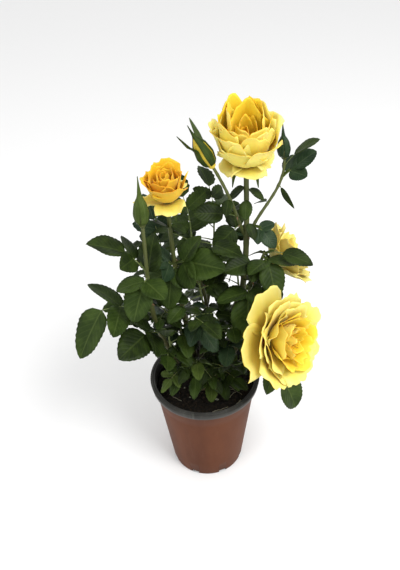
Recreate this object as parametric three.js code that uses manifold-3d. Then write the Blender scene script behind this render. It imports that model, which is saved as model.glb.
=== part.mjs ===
// A potted rose bush: a round nursery pot filled with compost, a short woody crown, several canes with
// yellow blooms and buds at their tips, and compound leaves on the canes and on seeded side shoots.
// Millimetres, +Z up; the origin is the middle of the pot's flat underside, and the best side faces -Y.

import * as THREE from 'three';
import { mergeVertices } from 'three/addons/utils/BufferGeometryUtils.js';
import Module from 'manifold-3d';

const wasm = await Module();
wasm.setup();

// ---------------------------------------------------------------- driving dimensions

const GAP = 0.3;             // clear space between neighbouring solids
const POT_HEIGHT = 145;
const RIM_RADIUS = 70;       // outside of the rolled rim
const RIM_SKIRT = 9.4;       // how far the rim's skirt hangs down outside
const LIP_WIDTH = 6.5;       // flat ring on top of the rim
const BODY_RADIUS = 64.5;    // body just under the skirt
const BASE_RADIUS = 48;
const WALL = 1.8;
const FLOOR = 3;
const DRAIN_HOLES = 8;       // notches round the lower corner
const DRAIN_WIDTH = 10;
const DRAIN_DEPTH = 12;
const DRAIN_HEIGHT = 8;
const SOIL_TOP = 131;
const SOIL_LUMP = 1.6;       // height of the lumps in the compost
const CROWN_RADIUS = 12;
const CROWN_FLARE = 17;
const CROWN_HEIGHT = 13;
const LEAF_THICKNESS = 0.02; // of the leaflet's length
const EDGE_LIFT = 0.008;     // of the leaflet's length
const LEAF_FOLD = 0.2;       // how steeply the two halves of a leaflet rise from its midrib
const LEAF_ARCH = 0.14;      // how far a leaflet's tip bends down, of its length
const RACHIS_RADIUS = 0.9;   // stalk of a compound leaf
const TWIG_RADIUS = 1.5;
const GOLDEN_TURN = 137.5;   // from one leaf to the next round a shoot
const POT_FACETS = 32;
const SOIL_FACETS = 20;
const BLOOM_FACETS = 15;
const CROWN_FACETS = 8;
const CANE_SIDES = 6;
const CANE_STEPS = 8;

// ---------------------------------------------------------------- finishes

const finish = (color, roughness) => new THREE.MeshStandardMaterial({ color, roughness, metalness: 0 });
const POT_CLAY = finish(0x72453a, 0.62);
const COMPOST = finish(0x14110c, 0.95);
const BARK = finish(0x5a5a34, 0.8);
const CANE_GREEN = finish(0x5d6e30, 0.6);
const LEAF_GREEN = finish(0x2f4423, 0.5);
const PETAL_YELLOW = finish(0xf2c93a, 0.7);
const BUD_GREEN = finish(0x56682c, 0.6);

// ---------------------------------------------------------------- small helpers

const rad = THREE.MathUtils.degToRad;
const vec = (x, y, z) => new THREE.Vector3(x, y, z);
const UP = vec(0, 0, 1);

// Park-Miller generator: the same row of numbers for the same seed.
function seeded(seed) {
  let state = seed;
  return (low, high) => {
    state = (state * 48271) % 2147483647;
    return low + (high - low) * (state / 2147483647);
  };
}

// Unit vector from a compass azimuth (0 is +X, 90 is +Y) and a rise above the horizontal.
function heading(azimuth, rise) {
  const a = rad(azimuth);
  const e = rad(rise);
  return vec(Math.cos(a) * Math.cos(e), Math.sin(a) * Math.cos(e), Math.sin(e));
}

// A closed solid from vertices and counter-clockwise triangles.
function solid(points, faces) {
  return new wasm.Manifold(new wasm.Mesh({
    numProp: 3,
    vertProperties: new Float32Array(points.flatMap((p) => [p.x, p.y, p.z])),
    triVerts: new Uint32Array(faces.flat()),
  }));
}

function solidOf(geometry, tolerance = 1e-4) {
  const bare = geometry.clone();
  bare.deleteAttribute('normal');
  bare.deleteAttribute('uv');
  const merged = mergeVertices(bare, tolerance);
  return new wasm.Manifold(new wasm.Mesh({
    numProp: 3,
    vertProperties: new Float32Array(merged.attributes.position.array),
    triVerts: new Uint32Array(merged.index.array),
  }));
}

// A solid turned about the vertical from its profile of [radius, height] points.
function turned(profile, segments) {
  const outline = profile.map(([r, z]) => new THREE.Vector2(r, z));
  const geometry = new THREE.LatheGeometry(outline, segments);
  geometry.rotateX(Math.PI / 2);
  return solidOf(geometry);
}

// The outer skin of the largest body, so that sealed hollows are filled and loose scraps dropped.
function wholeBody(made) {
  const bodies = made.decompose();
  return bodies.reduce((best, body) => (body.volume() > best.volume() ? body : best));
}

function fuse(parts) {
  return wholeBody(wasm.Manifold.union(parts));
}

// Rings of points joined into a tube. Its ends are flat, or pointed where the end ring is one point.
function loft(rings) {
  const starts = [];
  rings.reduce((sum, ring, i) => {
    starts[i] = sum;
    return sum + ring.length;
  }, 0);
  const faces = [];
  for (let i = 0; i + 1 < rings.length; i++) {
    const [below, above] = [rings[i].length, rings[i + 1].length];
    const sides = Math.max(below, above);
    for (let j = 0; j < sides; j++) {
      const k = (j + 1) % sides;
      const a = starts[i] + (j % below);
      const b = starts[i] + (k % below);
      const c = starts[i + 1] + (j % above);
      const d = starts[i + 1] + (k % above);
      if (below > 1) {
        faces.push([a, b, d]);
      }
      if (above > 1) {
        faces.push([a, d, c]);
      }
    }
  }
  const last = starts[rings.length - 1];
  for (let j = 1; j + 1 < rings[0].length; j++) {
    faces.push([0, j + 1, j]);
  }
  for (let j = 1; j + 1 < rings.at(-1).length; j++) {
    faces.push([last, last + j, last + j + 1]);
  }
  const made = solid(rings.flat(), faces);
  return made.volume() < 0 ? solid(rings.flat(), faces.map(([a, b, c]) => [a, c, b])) : made;
}

// A round limb along a curve: radius(t) at each step, rings square to the curve. Its two ends stand out
// past the curve's own by longer.
function limb(curve, radius, sides, steps, longer = 0) {
  const rings = [];
  let side = null;
  for (let i = 0; i <= steps; i++) {
    const t = i / steps;
    const along = curve.getTangent(t);
    const past = longer * ((i === steps) - (i === 0));
    const at = curve.getPoint(t).addScaledVector(along, past);
    side = side ?? vec(1, 0.2, 0).cross(along);
    side = side.clone().addScaledVector(along, -side.dot(along)).normalize();
    const other = along.clone().cross(side);
    const ring = [];
    for (let j = 0; j < sides; j++) {
      const a = (2 * Math.PI * j) / sides;
      ring.push(at.clone()
        .addScaledVector(side, radius(t) * Math.cos(a))
        .addScaledVector(other, radius(t) * Math.sin(a)));
    }
    rings.push(ring);
  }
  return loft(rings);
}

const taper = (foot, tip, extra = 0) => (t) => foot + (tip - foot) * t + extra;

// The limb with its clearance all round, which is cut out of whatever grows on it or round it.
const fatLimb = (curve, [foot, tip]) => limb(curve, taper(foot, tip, GAP * 1.2), CANE_SIDES, CANE_STEPS, GAP);

// ---------------------------------------------------------------- the tree of nodes

const plant = new THREE.Group();
plant.name = 'rose_bush';
const taken = [];            // every solid so far, which a new leaf has to keep clear of

function geometryOf(made) {
  const { vertProperties, triVerts } = made.getMesh();
  const geometry = new THREE.BufferGeometry();
  geometry.setAttribute('position', new THREE.BufferAttribute(new Float32Array(vertProperties), 3));
  geometry.setIndex(new THREE.BufferAttribute(new Uint32Array(triVerts), 1));
  return geometry;
}

// Adds a solid as a named mesh. Corners closer than a micrometre are joined first, and what that
// leaves hanging by nothing is dropped.
function node(name, shape, material) {
  const made = wholeBody(solidOf(geometryOf(shape), 1e-3));
  const geometry = geometryOf(made);
  geometry.computeVertexNormals();
  const mesh = new THREE.Mesh(geometry, material);
  mesh.name = name;
  plant.add(mesh);
  taken.push({ name, made, box: made.boundingBox() });
}

function boxesNear(a, b, reach) {
  return [0, 1, 2].every((i) => a.min[i] - reach < b.max[i] && b.min[i] - reach < a.max[i]);
}

// True if the piece keeps the gap to everything made so far, apart from the limb that it grows on.
function isClear(piece, parent) {
  const box = piece.boundingBox();
  return taken.every((other) => other.name === parent
    || !boxesNear(box, other.box, GAP)
    || piece.minGap(other.made, GAP * 1.2) >= GAP);
}

// ---------------------------------------------------------------- pot, compost and crown

function potSolid() {
  const inner = RIM_RADIUS - LIP_WIDTH;
  const skirt = POT_HEIGHT - RIM_SKIRT;
  const shell = turned([
    [0, 0], [BASE_RADIUS - 2, 0], [BASE_RADIUS, 2],
    [BODY_RADIUS, skirt], [RIM_RADIUS - 1.6, skirt], [RIM_RADIUS, POT_HEIGHT - 1.5],
    [RIM_RADIUS - 1.4, POT_HEIGHT], [inner + 1, POT_HEIGHT], [inner, POT_HEIGHT - 1.2],
    [inner, POT_HEIGHT - 4], [BODY_RADIUS - WALL, skirt - 2],
    [BASE_RADIUS - WALL, FLOOR], [0, FLOOR],
  ], POT_FACETS);
  // Each drain is a slot through the corner where the wall meets the floor.
  const slots = Array.from({ length: DRAIN_HOLES }, (_, i) => {
    const slot = new THREE.BoxGeometry(DRAIN_DEPTH, DRAIN_WIDTH, DRAIN_HEIGHT);
    slot.translate(BASE_RADIUS - 3, 0, 1);
    slot.rotateZ((2 * Math.PI * (i + 0.5)) / DRAIN_HOLES);
    return solidOf(slot);
  });
  return shell.subtract(wasm.Manifold.union(slots));
}

const wallRadius = (z) => BASE_RADIUS - WALL
  + ((BODY_RADIUS - BASE_RADIUS) * (z - FLOOR)) / (POT_HEIGHT - RIM_SKIRT - 2 - FLOOR);

// Compost: a plug a gap clear of the pot, lumpy on top apart from a level patch round the crown.
function soilSolid() {
  const random = seeded(77);
  const around = SOIL_FACETS;
  const foot = FLOOR + GAP;
  const edge = wallRadius(SOIL_TOP) - GAP - 0.6;
  const rings = [
    Array.from({ length: around }, (_, j) => [BASE_RADIUS - WALL - GAP - 0.5, j, foot]),
    Array.from({ length: around }, (_, j) => [edge, j, SOIL_TOP - 2]),
  ];
  for (const [share, lump] of [[0.93, 1], [0.8, 1], [0.66, 1], [0.52, 0.8], [0.38, 0.2], [0.3, 0]]) {
    rings.push(Array.from({ length: around }, (_, j) => [
      edge * share, j, SOIL_TOP + random(-0.5, 1) * SOIL_LUMP * lump,
    ]));
  }
  return loft(rings.map((ring) => ring.map(([r, j, z]) => {
    const a = (2 * Math.PI * j) / around;
    return vec(r * Math.cos(a), r * Math.sin(a), z);
  })));
}

// ---------------------------------------------------------------- canes

// A cane leaves its foot in one direction and arrives at its tip in another.
function caneCurve({ foot, tip, leave, arrive, bow = 0.38 }) {
  const from = vec(...foot);
  const to = vec(...tip);
  const pull = from.distanceTo(to) * bow;
  return new THREE.CubicBezierCurve3(
    from,
    from.clone().addScaledVector(heading(...leave), pull),
    to.clone().addScaledVector(heading(...arrive), -pull),
    to,
  );
}

const CROWN_Z = SOIL_TOP + GAP;
const CANE_Z = CROWN_Z + 5;

// Feet and tips in millimetres; leave and arrive are [azimuth, rise] in degrees.
const CANES = {
  cane_left: {
    foot: [-7, -1, CANE_Z], tip: [-55, -38, 391], leave: [180, 52], arrive: [90, 88], thick: [3.4, 1.9],
  },
  cane_left_bloom: {
    foot: [-3, 4, CANE_Z], tip: [-31, 1, 389], leave: [150, 74], arrive: [262, 82], thick: [3.6, 2.2],
  },
  cane_centre: {
    foot: [2, 8, CANE_Z], tip: [-10, 24, 322], leave: [60, 72], arrive: [160, 74], thick: [3.2, 1.5],
  },
  cane_top: {
    foot: [6, 3, CANE_Z], tip: [53, 28, 412], leave: [12, 60], arrive: [250, 86], thick: [4.4, 2.8],
  },
  cane_right: {
    foot: [8, -4, CANE_Z], tip: [68, -38, 238], leave: [10, 50], arrive: [312, 26], thick: [4, 2.8],
  },
  cane_right_leafy: {
    foot: [10, 4, CANE_Z], tip: [74, 16, 318], leave: [10, 56], arrive: [20, 64], thick: [3.2, 1.6],
  },
  cane_back_right: {
    foot: [6, 11, CANE_Z], tip: [80, 46, 272], leave: [40, 60], arrive: [2, 40], thick: [3.6, 2.6],
  },
  cane_back: {
    foot: [-2, 13, CANE_Z], tip: [18, 66, 292], leave: [100, 62], arrive: [80, 70], thick: [3.4, 1.6],
  },
  cane_back_left: {
    foot: [-9, 7, CANE_Z], tip: [-40, 54, 268], leave: [140, 60], arrive: [120, 72], thick: [3.2, 1.6],
  },
};

// Branches start inside a cane and are cut back a gap clear of it.
const BRANCHES = {
  branch_half_bud: {
    on: 'cane_top', at: 0.72, tip: [18, 8, 429], leave: [190, 70], arrive: [178, 62], thick: [1.8, 1.6],
  },
  branch_small_bud: {
    on: 'cane_top', at: 0.7, tip: [97, 56, 412], leave: [40, 74], arrive: [140, 84], thick: [2, 1.4],
  },
};

const curves = {};
const fatLimbs = {};

for (const [name, cane] of Object.entries(CANES)) {
  curves[name] = caneCurve(cane);
}
for (const [name, branch] of Object.entries(BRANCHES)) {
  const foot = curves[branch.on].getPoint(branch.at).toArray();
  curves[name] = caneCurve({ ...branch, foot });
}

// ---------------------------------------------------------------- leaves

// Half widths of a leaflet at stations along it, both as shares of its length.
const BROAD = [[0.2, 0.23], [0.5, 0.33], [0.8, 0.21]];
const PLAIN = [[0.46, 0.34]];

// Directions of a leaf that rises, turns and rolls: along it, across it, and square to its face.
function leafFrame(azimuth, rise, roll) {
  const along = heading(azimuth, rise);
  const across = vec(Math.sin(rad(azimuth)), -Math.cos(rad(azimuth)), 0);
  const face = across.clone().cross(along);
  across.applyAxisAngle(along, rad(roll));
  face.applyAxisAngle(along, rad(roll));
  return { along, across, face };
}

// Rings of a leaflet: edges raised above its midrib's keel, arched along its length, ending in its tip.
function bladeRings({ at, along, across, face, length }, stations) {
  const place = (u, w, lift) => at.clone()
    .addScaledVector(along, u * length)
    .addScaledVector(across, w * length)
    .addScaledVector(face, (LEAF_FOLD * Math.abs(w) - LEAF_ARCH * u * u + lift) * length);
  const rings = stations.map(([u, w]) => [
    place(u, -w, EDGE_LIFT), place(u, 0, -LEAF_THICKNESS), place(u, w, EDGE_LIFT),
  ]);
  return [...rings, [place(1, 0, 0)]];
}

// A three-sided ring of a stalk.
function stalkRing(at, across, face, radius) {
  return [
    at.clone().addScaledVector(across, -radius).addScaledVector(face, radius * 0.5),
    at.clone().addScaledVector(face, -radius),
    at.clone().addScaledVector(across, radius).addScaledVector(face, radius * 0.5),
  ];
}

const PAIRS = { 1: [], 3: [0.66], 5: [0.34, 0.7] };

// Places of a compound leaf: a stalk that droops and turns, a leaflet at its end and pairs along it.
function compoundLeaf(base, leaf) {
  const { azimuth, rise, reach, size, count, droop = 0, nod = 0, roll = 0, turn = 0 } = leaf;
  const steps = size > 36 ? 3 : 2;
  const spine = [{ at: base.clone(), ...leafFrame(azimuth, rise, roll) }];
  for (let i = 1; i <= steps; i++) {
    const f = (i - 0.5) / steps;
    const frame = leafFrame(azimuth + turn * f, rise - droop * f, roll);
    spine.push({ at: spine[i - 1].at.clone().addScaledVector(frame.along, reach / steps), ...frame });
  }
  const end = { at: spine[steps].at, ...leafFrame(azimuth + turn, rise - droop - nod, roll), length: size };
  const pairs = PAIRS[count].map((share, k) => {
    const i = Math.min(steps - 1, Math.floor(share * steps));
    const { along, across, face } = spine[i + 1];
    const at = spine[i].at.clone().lerp(spine[i + 1].at, share * steps - i);
    const sides = [-1, 1].map((side) => {
      const out = along.clone().multiplyScalar(0.5).addScaledVector(across, 0.87 * side).normalize();
      return { at, along: out, face, across: out.clone().cross(face), length: size * (0.76 + 0.1 * k) };
    });
    return { at, along, face, sides };
  });
  return { spine, end, pairs };
}

// The solids of a compound leaf that keep clear of all else; none if its own stalk can't.
function leafPieces(base, leaf, parent, stations, sisters = []) {
  const { spine, end, pairs } = compoundLeaf(base, leaf);
  const fits = (piece) => isClear(piece, parent) && sisters.every((other) => piece.minGap(other, 0.1) > 0);
  const stalk = spine.map(({ at, across, face }, i) => {
    const thinner = RACHIS_RADIUS * (1 - 0.1 * i);
    return stalkRing(at, across, face, thinner);
  });
  const whole = loft([...stalk, ...bladeRings(end, stations)]);
  const bare = loft(stalk);
  const pieces = [];
  if (fits(whole)) {
    pieces.push(whole);
  } else if (fits(bare)) {
    pieces.push(bare);
  } else {
    return [];
  }
  for (const { at, along, face, sides } of pairs) {
    const neck = [
      at.clone().addScaledVector(along, RACHIS_RADIUS),
      at.clone().addScaledVector(face, -RACHIS_RADIUS),
      at.clone().addScaledVector(along, -RACHIS_RADIUS),
    ];
    const [left, right] = sides.map((side) => bladeRings(side, stations));
    const leftTurned = left.map((ring) => [...ring].reverse());
    const both = loft([...leftTurned.reverse(), neck, ...right]);
    const choices = [both, loft([neck, ...right]), loft([[...neck].reverse(), ...left])];
    const chosen = choices.find(fits);
    if (chosen) {
      pieces.push(chosen);
    }
  }
  sisters.push(...pieces);
  return pieces;
}

// ---------------------------------------------------------------- blooms

// Sepals: five narrow blades round the hip, leaning by the given rise.
function sepalSolids(hip, height, rise, length, stations) {
  return Array.from({ length: 5 }, (_, k) => {
    const turn = k * 72 + 10;
    const base = heading(turn, 0).multiplyScalar(hip * 0.6).add(vec(0, 0, height));
    const frame = leafFrame(turn, rise, 0);
    const foot = stalkRing(base, frame.across, frame.face, 1.1);
    return loft([foot, ...bladeRings({ at: base, ...frame, length }, stations)]);
  });
}

// A bloom on its own axis, its neck's flat end at the origin. Its petals' edges are scalloped rings,
// one for each layer from the outermost in, with a valley between two layers.
function bloomSolid({ radius, depth, open, neck, sepalRise }) {
  const around = BLOOM_FACETS;
  const hip = radius * 0.15 + 1;
  const base = hip * 1.8;
  const lift = 0.86 - 0.5 * open;
  const ring = (r, z, scallop = 0, phase = 0) => Array.from({ length: around }, (_, j) => {
    const a = (2 * Math.PI * j) / around;
    const wave = scallop * Math.cos(5 * a + phase);
    return vec(r * (1 + wave) * Math.cos(a), r * (1 + wave) * Math.sin(a), z + wave * radius * 0.5);
  });
  const rings = [
    ring(neck, 0), ring(neck, hip * 0.5), ring(hip, hip * 1.2), ring(hip * 0.9, base),
    ring(radius * (0.8 - 0.2 * open), base + depth * lift * (0.4 + 0.2 * open), 0.04, 0),
  ];
  const layers = [1, 0.8, 0.58, 0.36];
  layers.forEach((share, k) => {
    const edge = base + depth * (lift + (1 - lift) * (k / 3) ** 0.8);
    rings.push(ring(radius * share, edge, 0.07, 2.4 * k));
    rings.push(ring(radius * (share - 0.13), edge - depth * 0.1, 0.03, 2.4 * k));
  });
  rings.push([vec(0, 0, base + depth * 0.82)]);
  return fuse([loft(rings), ...sepalSolids(hip, hip * 1.3, sepalRise, radius * 0.45 + 8, [[0.4, 0.12]])]);
}

// A bud: a pointed egg of wrapped petals held by sepals, on its own axis.
function budSolid({ radius, height, neck, sepalRise, sepalLength }) {
  const body = turned([
    [0, 0], [neck, 0], [neck * 1.1, height * 0.08], [radius * 0.8, height * 0.2],
    [radius, height * 0.42], [radius * 0.8, height * 0.7], [0, height],
  ], 8);
  return fuse([body, ...sepalSolids(radius, height * 0.18, sepalRise, sepalLength, [[0.34, 0.12]])]);
}

// Each flower sits on a limb's tip and looks the way that the limb arrives.
const BLOOMS = {
  bloom_top: { on: 'cane_top', radius: 36, depth: 62, open: 0.45, neck: 3, sepalRise: -30 },
  bloom_left: { on: 'cane_left_bloom', radius: 26, depth: 36, open: 0.3, neck: 2.4, sepalRise: -30 },
  bloom_right: { on: 'cane_right', radius: 54, depth: 40, open: 1, neck: 3, sepalRise: -30 },
  bloom_back: { on: 'cane_back_right', radius: 44, depth: 38, open: 0.8, neck: 2.8, sepalRise: -30 },
};
const BUDS = {
  bud_left: { on: 'cane_left', radius: 7.5, height: 36, neck: 2.1, sepalRise: 88, sepalLength: 48 },
  bud_half_open: { on: 'branch_half_bud', radius: 9, height: 40, neck: 1.8, sepalRise: 75, sepalLength: 46 },
  bud_small: { on: 'branch_small_bud', radius: 7, height: 28, neck: 1.7, sepalRise: 80, sepalLength: 36 },
};

// ---------------------------------------------------------------- assembly

node('pot', potSolid(), POT_CLAY);
node('soil', soilSolid(), COMPOST);

for (const [name, { thick }] of Object.entries({ ...CANES, ...BRANCHES })) {
  fatLimbs[name] = fatLimb(curves[name], thick);
}

// The crown: a knuckle with flared roots, a flat cut below, and a socket for each cane's foot.
const knuckle = turned([
  [0, CROWN_Z], [CROWN_FLARE, CROWN_Z], [CROWN_FLARE * 0.86, CROWN_Z + 2.5], [CROWN_RADIUS, CROWN_Z + 6],
  [CROWN_RADIUS * 0.92, CROWN_Z + 10], [CROWN_RADIUS * 0.5, CROWN_Z + CROWN_HEIGHT],
  [0, CROWN_Z + CROWN_HEIGHT],
], CROWN_FACETS);
const sockets = Object.keys(CANES).map((name) => fatLimbs[name]);
node('crown', fuse([knuckle.subtract(wasm.Manifold.union(sockets))]), BARK);

// Each cane is cut back from the canes before it, where their feet crowd together.
const placedCanes = [];
for (const [name, { thick }] of Object.entries(CANES)) {
  const made = limb(curves[name], taper(...thick), CANE_SIDES, CANE_STEPS);
  node(name, placedCanes.reduce((rest, other) => rest.subtract(fatLimbs[other]), made), CANE_GREEN);
  placedCanes.push(name);
}
for (const [name, { on, thick }] of Object.entries(BRANCHES)) {
  node(name, limb(curves[name], taper(...thick), CANE_SIDES, CANE_STEPS).subtract(fatLimbs[on]), CANE_GREEN);
}

// Turns a flower from its own axis to its limb's tip.
function seatFlower(made, on) {
  const axis = curves[on].getTangent(1).normalize();
  const at = curves[on].getPoint(1).addScaledVector(axis, GAP);
  const spin = new THREE.Quaternion().setFromUnitVectors(UP, axis);
  const matrix = new THREE.Matrix4().compose(at, spin, vec(1, 1, 1));
  return made.transform(matrix.elements);
}

for (const [name, bloom] of Object.entries(BLOOMS)) {
  node(name, seatFlower(bloomSolid(bloom), bloom.on), PETAL_YELLOW);
}
for (const [name, bud] of Object.entries(BUDS)) {
  node(name, seatFlower(budSolid(bud), bud.on), BUD_GREEN);
}

// ---------------------------------------------------------------- foliage

// Single leaves that stand out: on which limb, how far along it, and the leaf's angles and sizes.
const LEAVES = {
  leaf_left_low: {
    on: 'cane_left', at: 0.56, azimuth: 204, rise: 46, reach: 68, size: 60, count: 3,
    droop: 36, nod: 58, roll: -14, turn: 14,
  },
  leaf_left_foot: {
    on: 'cane_left', at: 0.4, azimuth: 238, rise: 50, reach: 34, size: 46, count: 3,
    droop: 30, nod: 14, roll: -30, turn: 0,
  },
  leaf_left_high: {
    on: 'cane_left', at: 0.8, azimuth: 192, rise: 66, reach: 36, size: 40, count: 3,
    droop: 20, nod: 14, roll: -12, turn: 0,
  },
  leaf_left_face: {
    on: 'cane_left', at: 0.78, azimuth: 250, rise: -6, reach: 10, size: 42, count: 3,
    droop: 10, nod: 14, roll: 0, turn: 0,
  },
  leaf_left_up: {
    on: 'cane_left', at: 0.76, azimuth: 60, rise: 76, reach: 10, size: 42, count: 1,
    droop: 4, nod: 0, roll: 0, turn: 0,
  },
  leaf_left_inner: {
    on: 'cane_left_bloom', at: 0.7, azimuth: 215, rise: 46, reach: 14, size: 40, count: 3,
    droop: 10, nod: 0, roll: -30, turn: 0,
  },
  leaf_centre_face: {
    on: 'cane_left_bloom', at: 0.71, azimuth: 324, rise: 34, reach: 22, size: 46, count: 3,
    droop: 14, nod: 10, roll: 44, turn: 0,
  },
  leaf_centre_down: {
    on: 'cane_left_bloom', at: 0.7, azimuth: 252, rise: -14, reach: 12, size: 40, count: 3,
    droop: 20, nod: 20, roll: 0, turn: 0,
  },
  leaf_top_side: {
    on: 'branch_half_bud', at: 0.34, azimuth: 192, rise: 22, reach: 16, size: 33, count: 1,
    droop: 6, nod: 4, roll: -46, turn: 0,
  },
  leaf_top_low: {
    on: 'branch_half_bud', at: 0.2, azimuth: 206, rise: -14, reach: 8, size: 33, count: 1,
    droop: 10, nod: 10, roll: -50, turn: 0,
  },
  leaf_top_narrow: {
    on: 'cane_top', at: 0.66, azimuth: 222, rise: -20, reach: 8, size: 32, count: 1,
    droop: 10, nod: 4, roll: 50, turn: 0,
  },
  leaf_top_right: {
    on: 'branch_small_bud', at: 0.2, azimuth: 318, rise: 10, reach: 14, size: 24, count: 3,
    droop: 30, nod: 20, roll: 30, turn: 0,
  },
  leaf_right_inner: {
    on: 'cane_right_leafy', at: 0.94, azimuth: 212, rise: 30, reach: 14, size: 36, count: 3,
    droop: 14, nod: 10, roll: -30, turn: 0,
  },
  leaf_right_hanging: {
    on: 'cane_right_leafy', at: 0.78, azimuth: 246, rise: 20, reach: 24, size: 50, count: 3,
    droop: 40, nod: 30, roll: 0, turn: 20,
  },
  leaf_right_cover: {
    on: 'cane_right_leafy', at: 0.97, azimuth: 286, rise: 24, reach: 18, size: 42, count: 3,
    droop: 30, nod: 40, roll: 0, turn: 0,
  },
  leaf_right_top: {
    on: 'cane_right_leafy', at: 0.99, azimuth: 330, rise: 40, reach: 24, size: 36, count: 3,
    droop: 40, nod: 4, roll: 20, turn: 0,
  },
  leaf_right_tip: {
    on: 'cane_right_leafy', at: 0.9, azimuth: 330, rise: 0, reach: 34, size: 36, count: 1,
    droop: 10, nod: 6, roll: 36, turn: 0,
  },
  leaf_under_bloom: {
    on: 'cane_right', at: 0.76, azimuth: 332, rise: -26, reach: 68, size: 48, count: 3,
    droop: 36, nod: 0, roll: 20, turn: 0,
  },
  leaf_small_bud: {
    on: 'branch_small_bud', at: 0.8, azimuth: 8, rise: 40, reach: 18, size: 29, count: 3,
    droop: 0, nod: 0, roll: 20, turn: 0,
  },
  leaf_stipule: {
    on: 'branch_small_bud', at: 0.72, azimuth: 316, rise: -30, reach: 4, size: 28, count: 1,
    droop: 20, nod: 0, roll: 70, turn: 0,
  },
};

// A mass of leaves as one node, cut a gap clear of the limb that it grows on.
function foliage(name, pieces, on) {
  if (!pieces.length) {
    throw new Error(`${name} has no clear space`);
  }
  node(name, wasm.Manifold.union(pieces).subtract(fatLimbs[on]), LEAF_GREEN);
}

for (const [name, leaf] of Object.entries(LEAVES)) {
  const base = curves[leaf.on].getPoint(leaf.at);
  foliage(name, leafPieces(base, leaf, leaf.on, BROAD), leaf.on);
}

// Side shoots: on which limb, how far along it, azimuth and rise of the stem, its length, and its leaves.
const SHOOTS = {
  shoot_front_left: {
    on: 'cane_left', at: 0.08, azimuth: 238, rise: 40, length: 36, leaves: 6, size: 20, seed: 3,
  },
  shoot_front: {
    on: 'cane_left_bloom', at: 0.07, azimuth: 266, rise: 40, length: 40, leaves: 6, size: 26, seed: 5,
  },
  shoot_front_right: {
    on: 'cane_right', at: 0.12, azimuth: 296, rise: 40, length: 36, leaves: 6, size: 26, seed: 7,
  },
  shoot_left_low: {
    on: 'cane_left', at: 0.2, azimuth: 250, rise: 60, length: 50, leaves: 6, size: 28, seed: 9,
  },
  shoot_left_back: {
    on: 'cane_left_bloom', at: 0.3, azimuth: 190, rise: 40, length: 46, leaves: 5, size: 30, seed: 13,
  },
  shoot_centre_low: {
    on: 'cane_left_bloom', at: 0.36, azimuth: 286, rise: 30, length: 44, leaves: 6, size: 28, seed: 15,
  },
  shoot_centre_mid: {
    on: 'cane_centre', at: 0.5, azimuth: 235, rise: 64, length: 60, leaves: 5, size: 30, seed: 17,
  },
  shoot_centre_top: {
    on: 'cane_centre', at: 0.96, azimuth: 95, rise: 80, length: 30, leaves: 4, size: 36, seed: 19,
  },
  shoot_centre_side: {
    on: 'cane_centre', at: 0.72, azimuth: 180, rise: 50, length: 44, leaves: 4, size: 34, seed: 21,
  },
  shoot_right_low: {
    on: 'cane_right_leafy', at: 0.3, azimuth: 262, rise: 50, length: 50, leaves: 6, size: 28, seed: 23,
  },
  shoot_right_mid: {
    on: 'cane_top', at: 0.36, azimuth: 300, rise: 58, length: 56, leaves: 5, size: 30, seed: 25,
  },
  shoot_right_side: {
    on: 'cane_back_right', at: 0.3, azimuth: 350, rise: 40, length: 60, leaves: 4, size: 32, seed: 27,
  },
  shoot_right_back: {
    on: 'cane_back_right', at: 0.7, azimuth: 100, rise: 60, length: 56, leaves: 4, size: 34, seed: 29,
  },
  shoot_back_right: {
    on: 'cane_back', at: 0.4, azimuth: 80, rise: 30, length: 62, leaves: 4, size: 36, seed: 31,
  },
  shoot_back_low: {
    on: 'cane_back_left', at: 0.2, azimuth: 90, rise: 20, length: 60, leaves: 3, size: 34, seed: 33,
  },
  shoot_back_top: {
    on: 'cane_back', at: 1, azimuth: 80, rise: 74, length: 40, leaves: 4, size: 38, seed: 35,
  },
  shoot_back_left: {
    on: 'cane_back_left', at: 0.5, azimuth: 196, rise: 36, length: 50, leaves: 4, size: 34, seed: 39,
  },
  shoot_back_left_top: {
    on: 'cane_back_left', at: 1, azimuth: 130, rise: 66, length: 30, leaves: 4, size: 36, seed: 41,
  },
};

// A side shoot: a stem that bends upwards, with leaves dealt round it on the golden turn and one on top.
function shootPieces(base, shoot, parent) {
  const { azimuth, rise, length, leaves, size, seed } = shoot;
  const random = seeded(seed * 7919);
  const tipRise = Math.min(86, rise + 26);
  const curve = new THREE.QuadraticBezierCurve3(
    base,
    base.clone().addScaledVector(heading(azimuth, rise), length * 0.5),
    base.clone().addScaledVector(heading(azimuth, rise), length * 0.5)
      .addScaledVector(heading(azimuth, tipRise), length * 0.5),
  );
  const stem = limb(curve, taper(TWIG_RADIUS, RACHIS_RADIUS), 3, 4);
  const pieces = isClear(stem, parent) ? [stem] : [];
  const sisters = [];
  for (let i = 0; i < leaves; i++) {
    const t = 0.3 + (0.7 * i) / (leaves - 1);
    const last = i === leaves - 1;
    const leaf = {
      azimuth: last ? azimuth + random(-20, 20) : azimuth + 90 + i * GOLDEN_TURN + random(-18, 18),
      rise: last ? tipRise - random(0, 20) : random(10, 46),
      reach: size * random(0.85, 1.15),
      size: size * random(0.85, 1.1),
      count: random(0, 1) < 0.4 ? 5 : 3,
      droop: random(20, 56),
      roll: random(-24, 24),
      turn: random(-20, 20),
    };
    if (pieces.length) {
      pieces.push(...leafPieces(curve.getPoint(t), leaf, parent, PLAIN, sisters));
    }
  }
  return pieces;
}

for (const [name, shoot] of Object.entries(SHOOTS)) {
  const base = curves[shoot.on].getPoint(shoot.at);
  foliage(name, shootPieces(base, shoot, shoot.on), shoot.on);
}

export default plant;
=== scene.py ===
# %% [markdown]
# # A rose bush in a nursery pot
#
# The plant is a container rose: a brown nursery pot full of dark compost, a short woody crown, nine
# green canes, and yellow double blooms and pointed buds over glossy toothed leaves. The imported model
# already fixes where every limb, leaf and bloom is and how large it is. This file dresses it: each
# solid is replaced by a finer mesh in the same place, and each surface gets a finish made of nodes.

# %% Load the frame
import math

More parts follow.
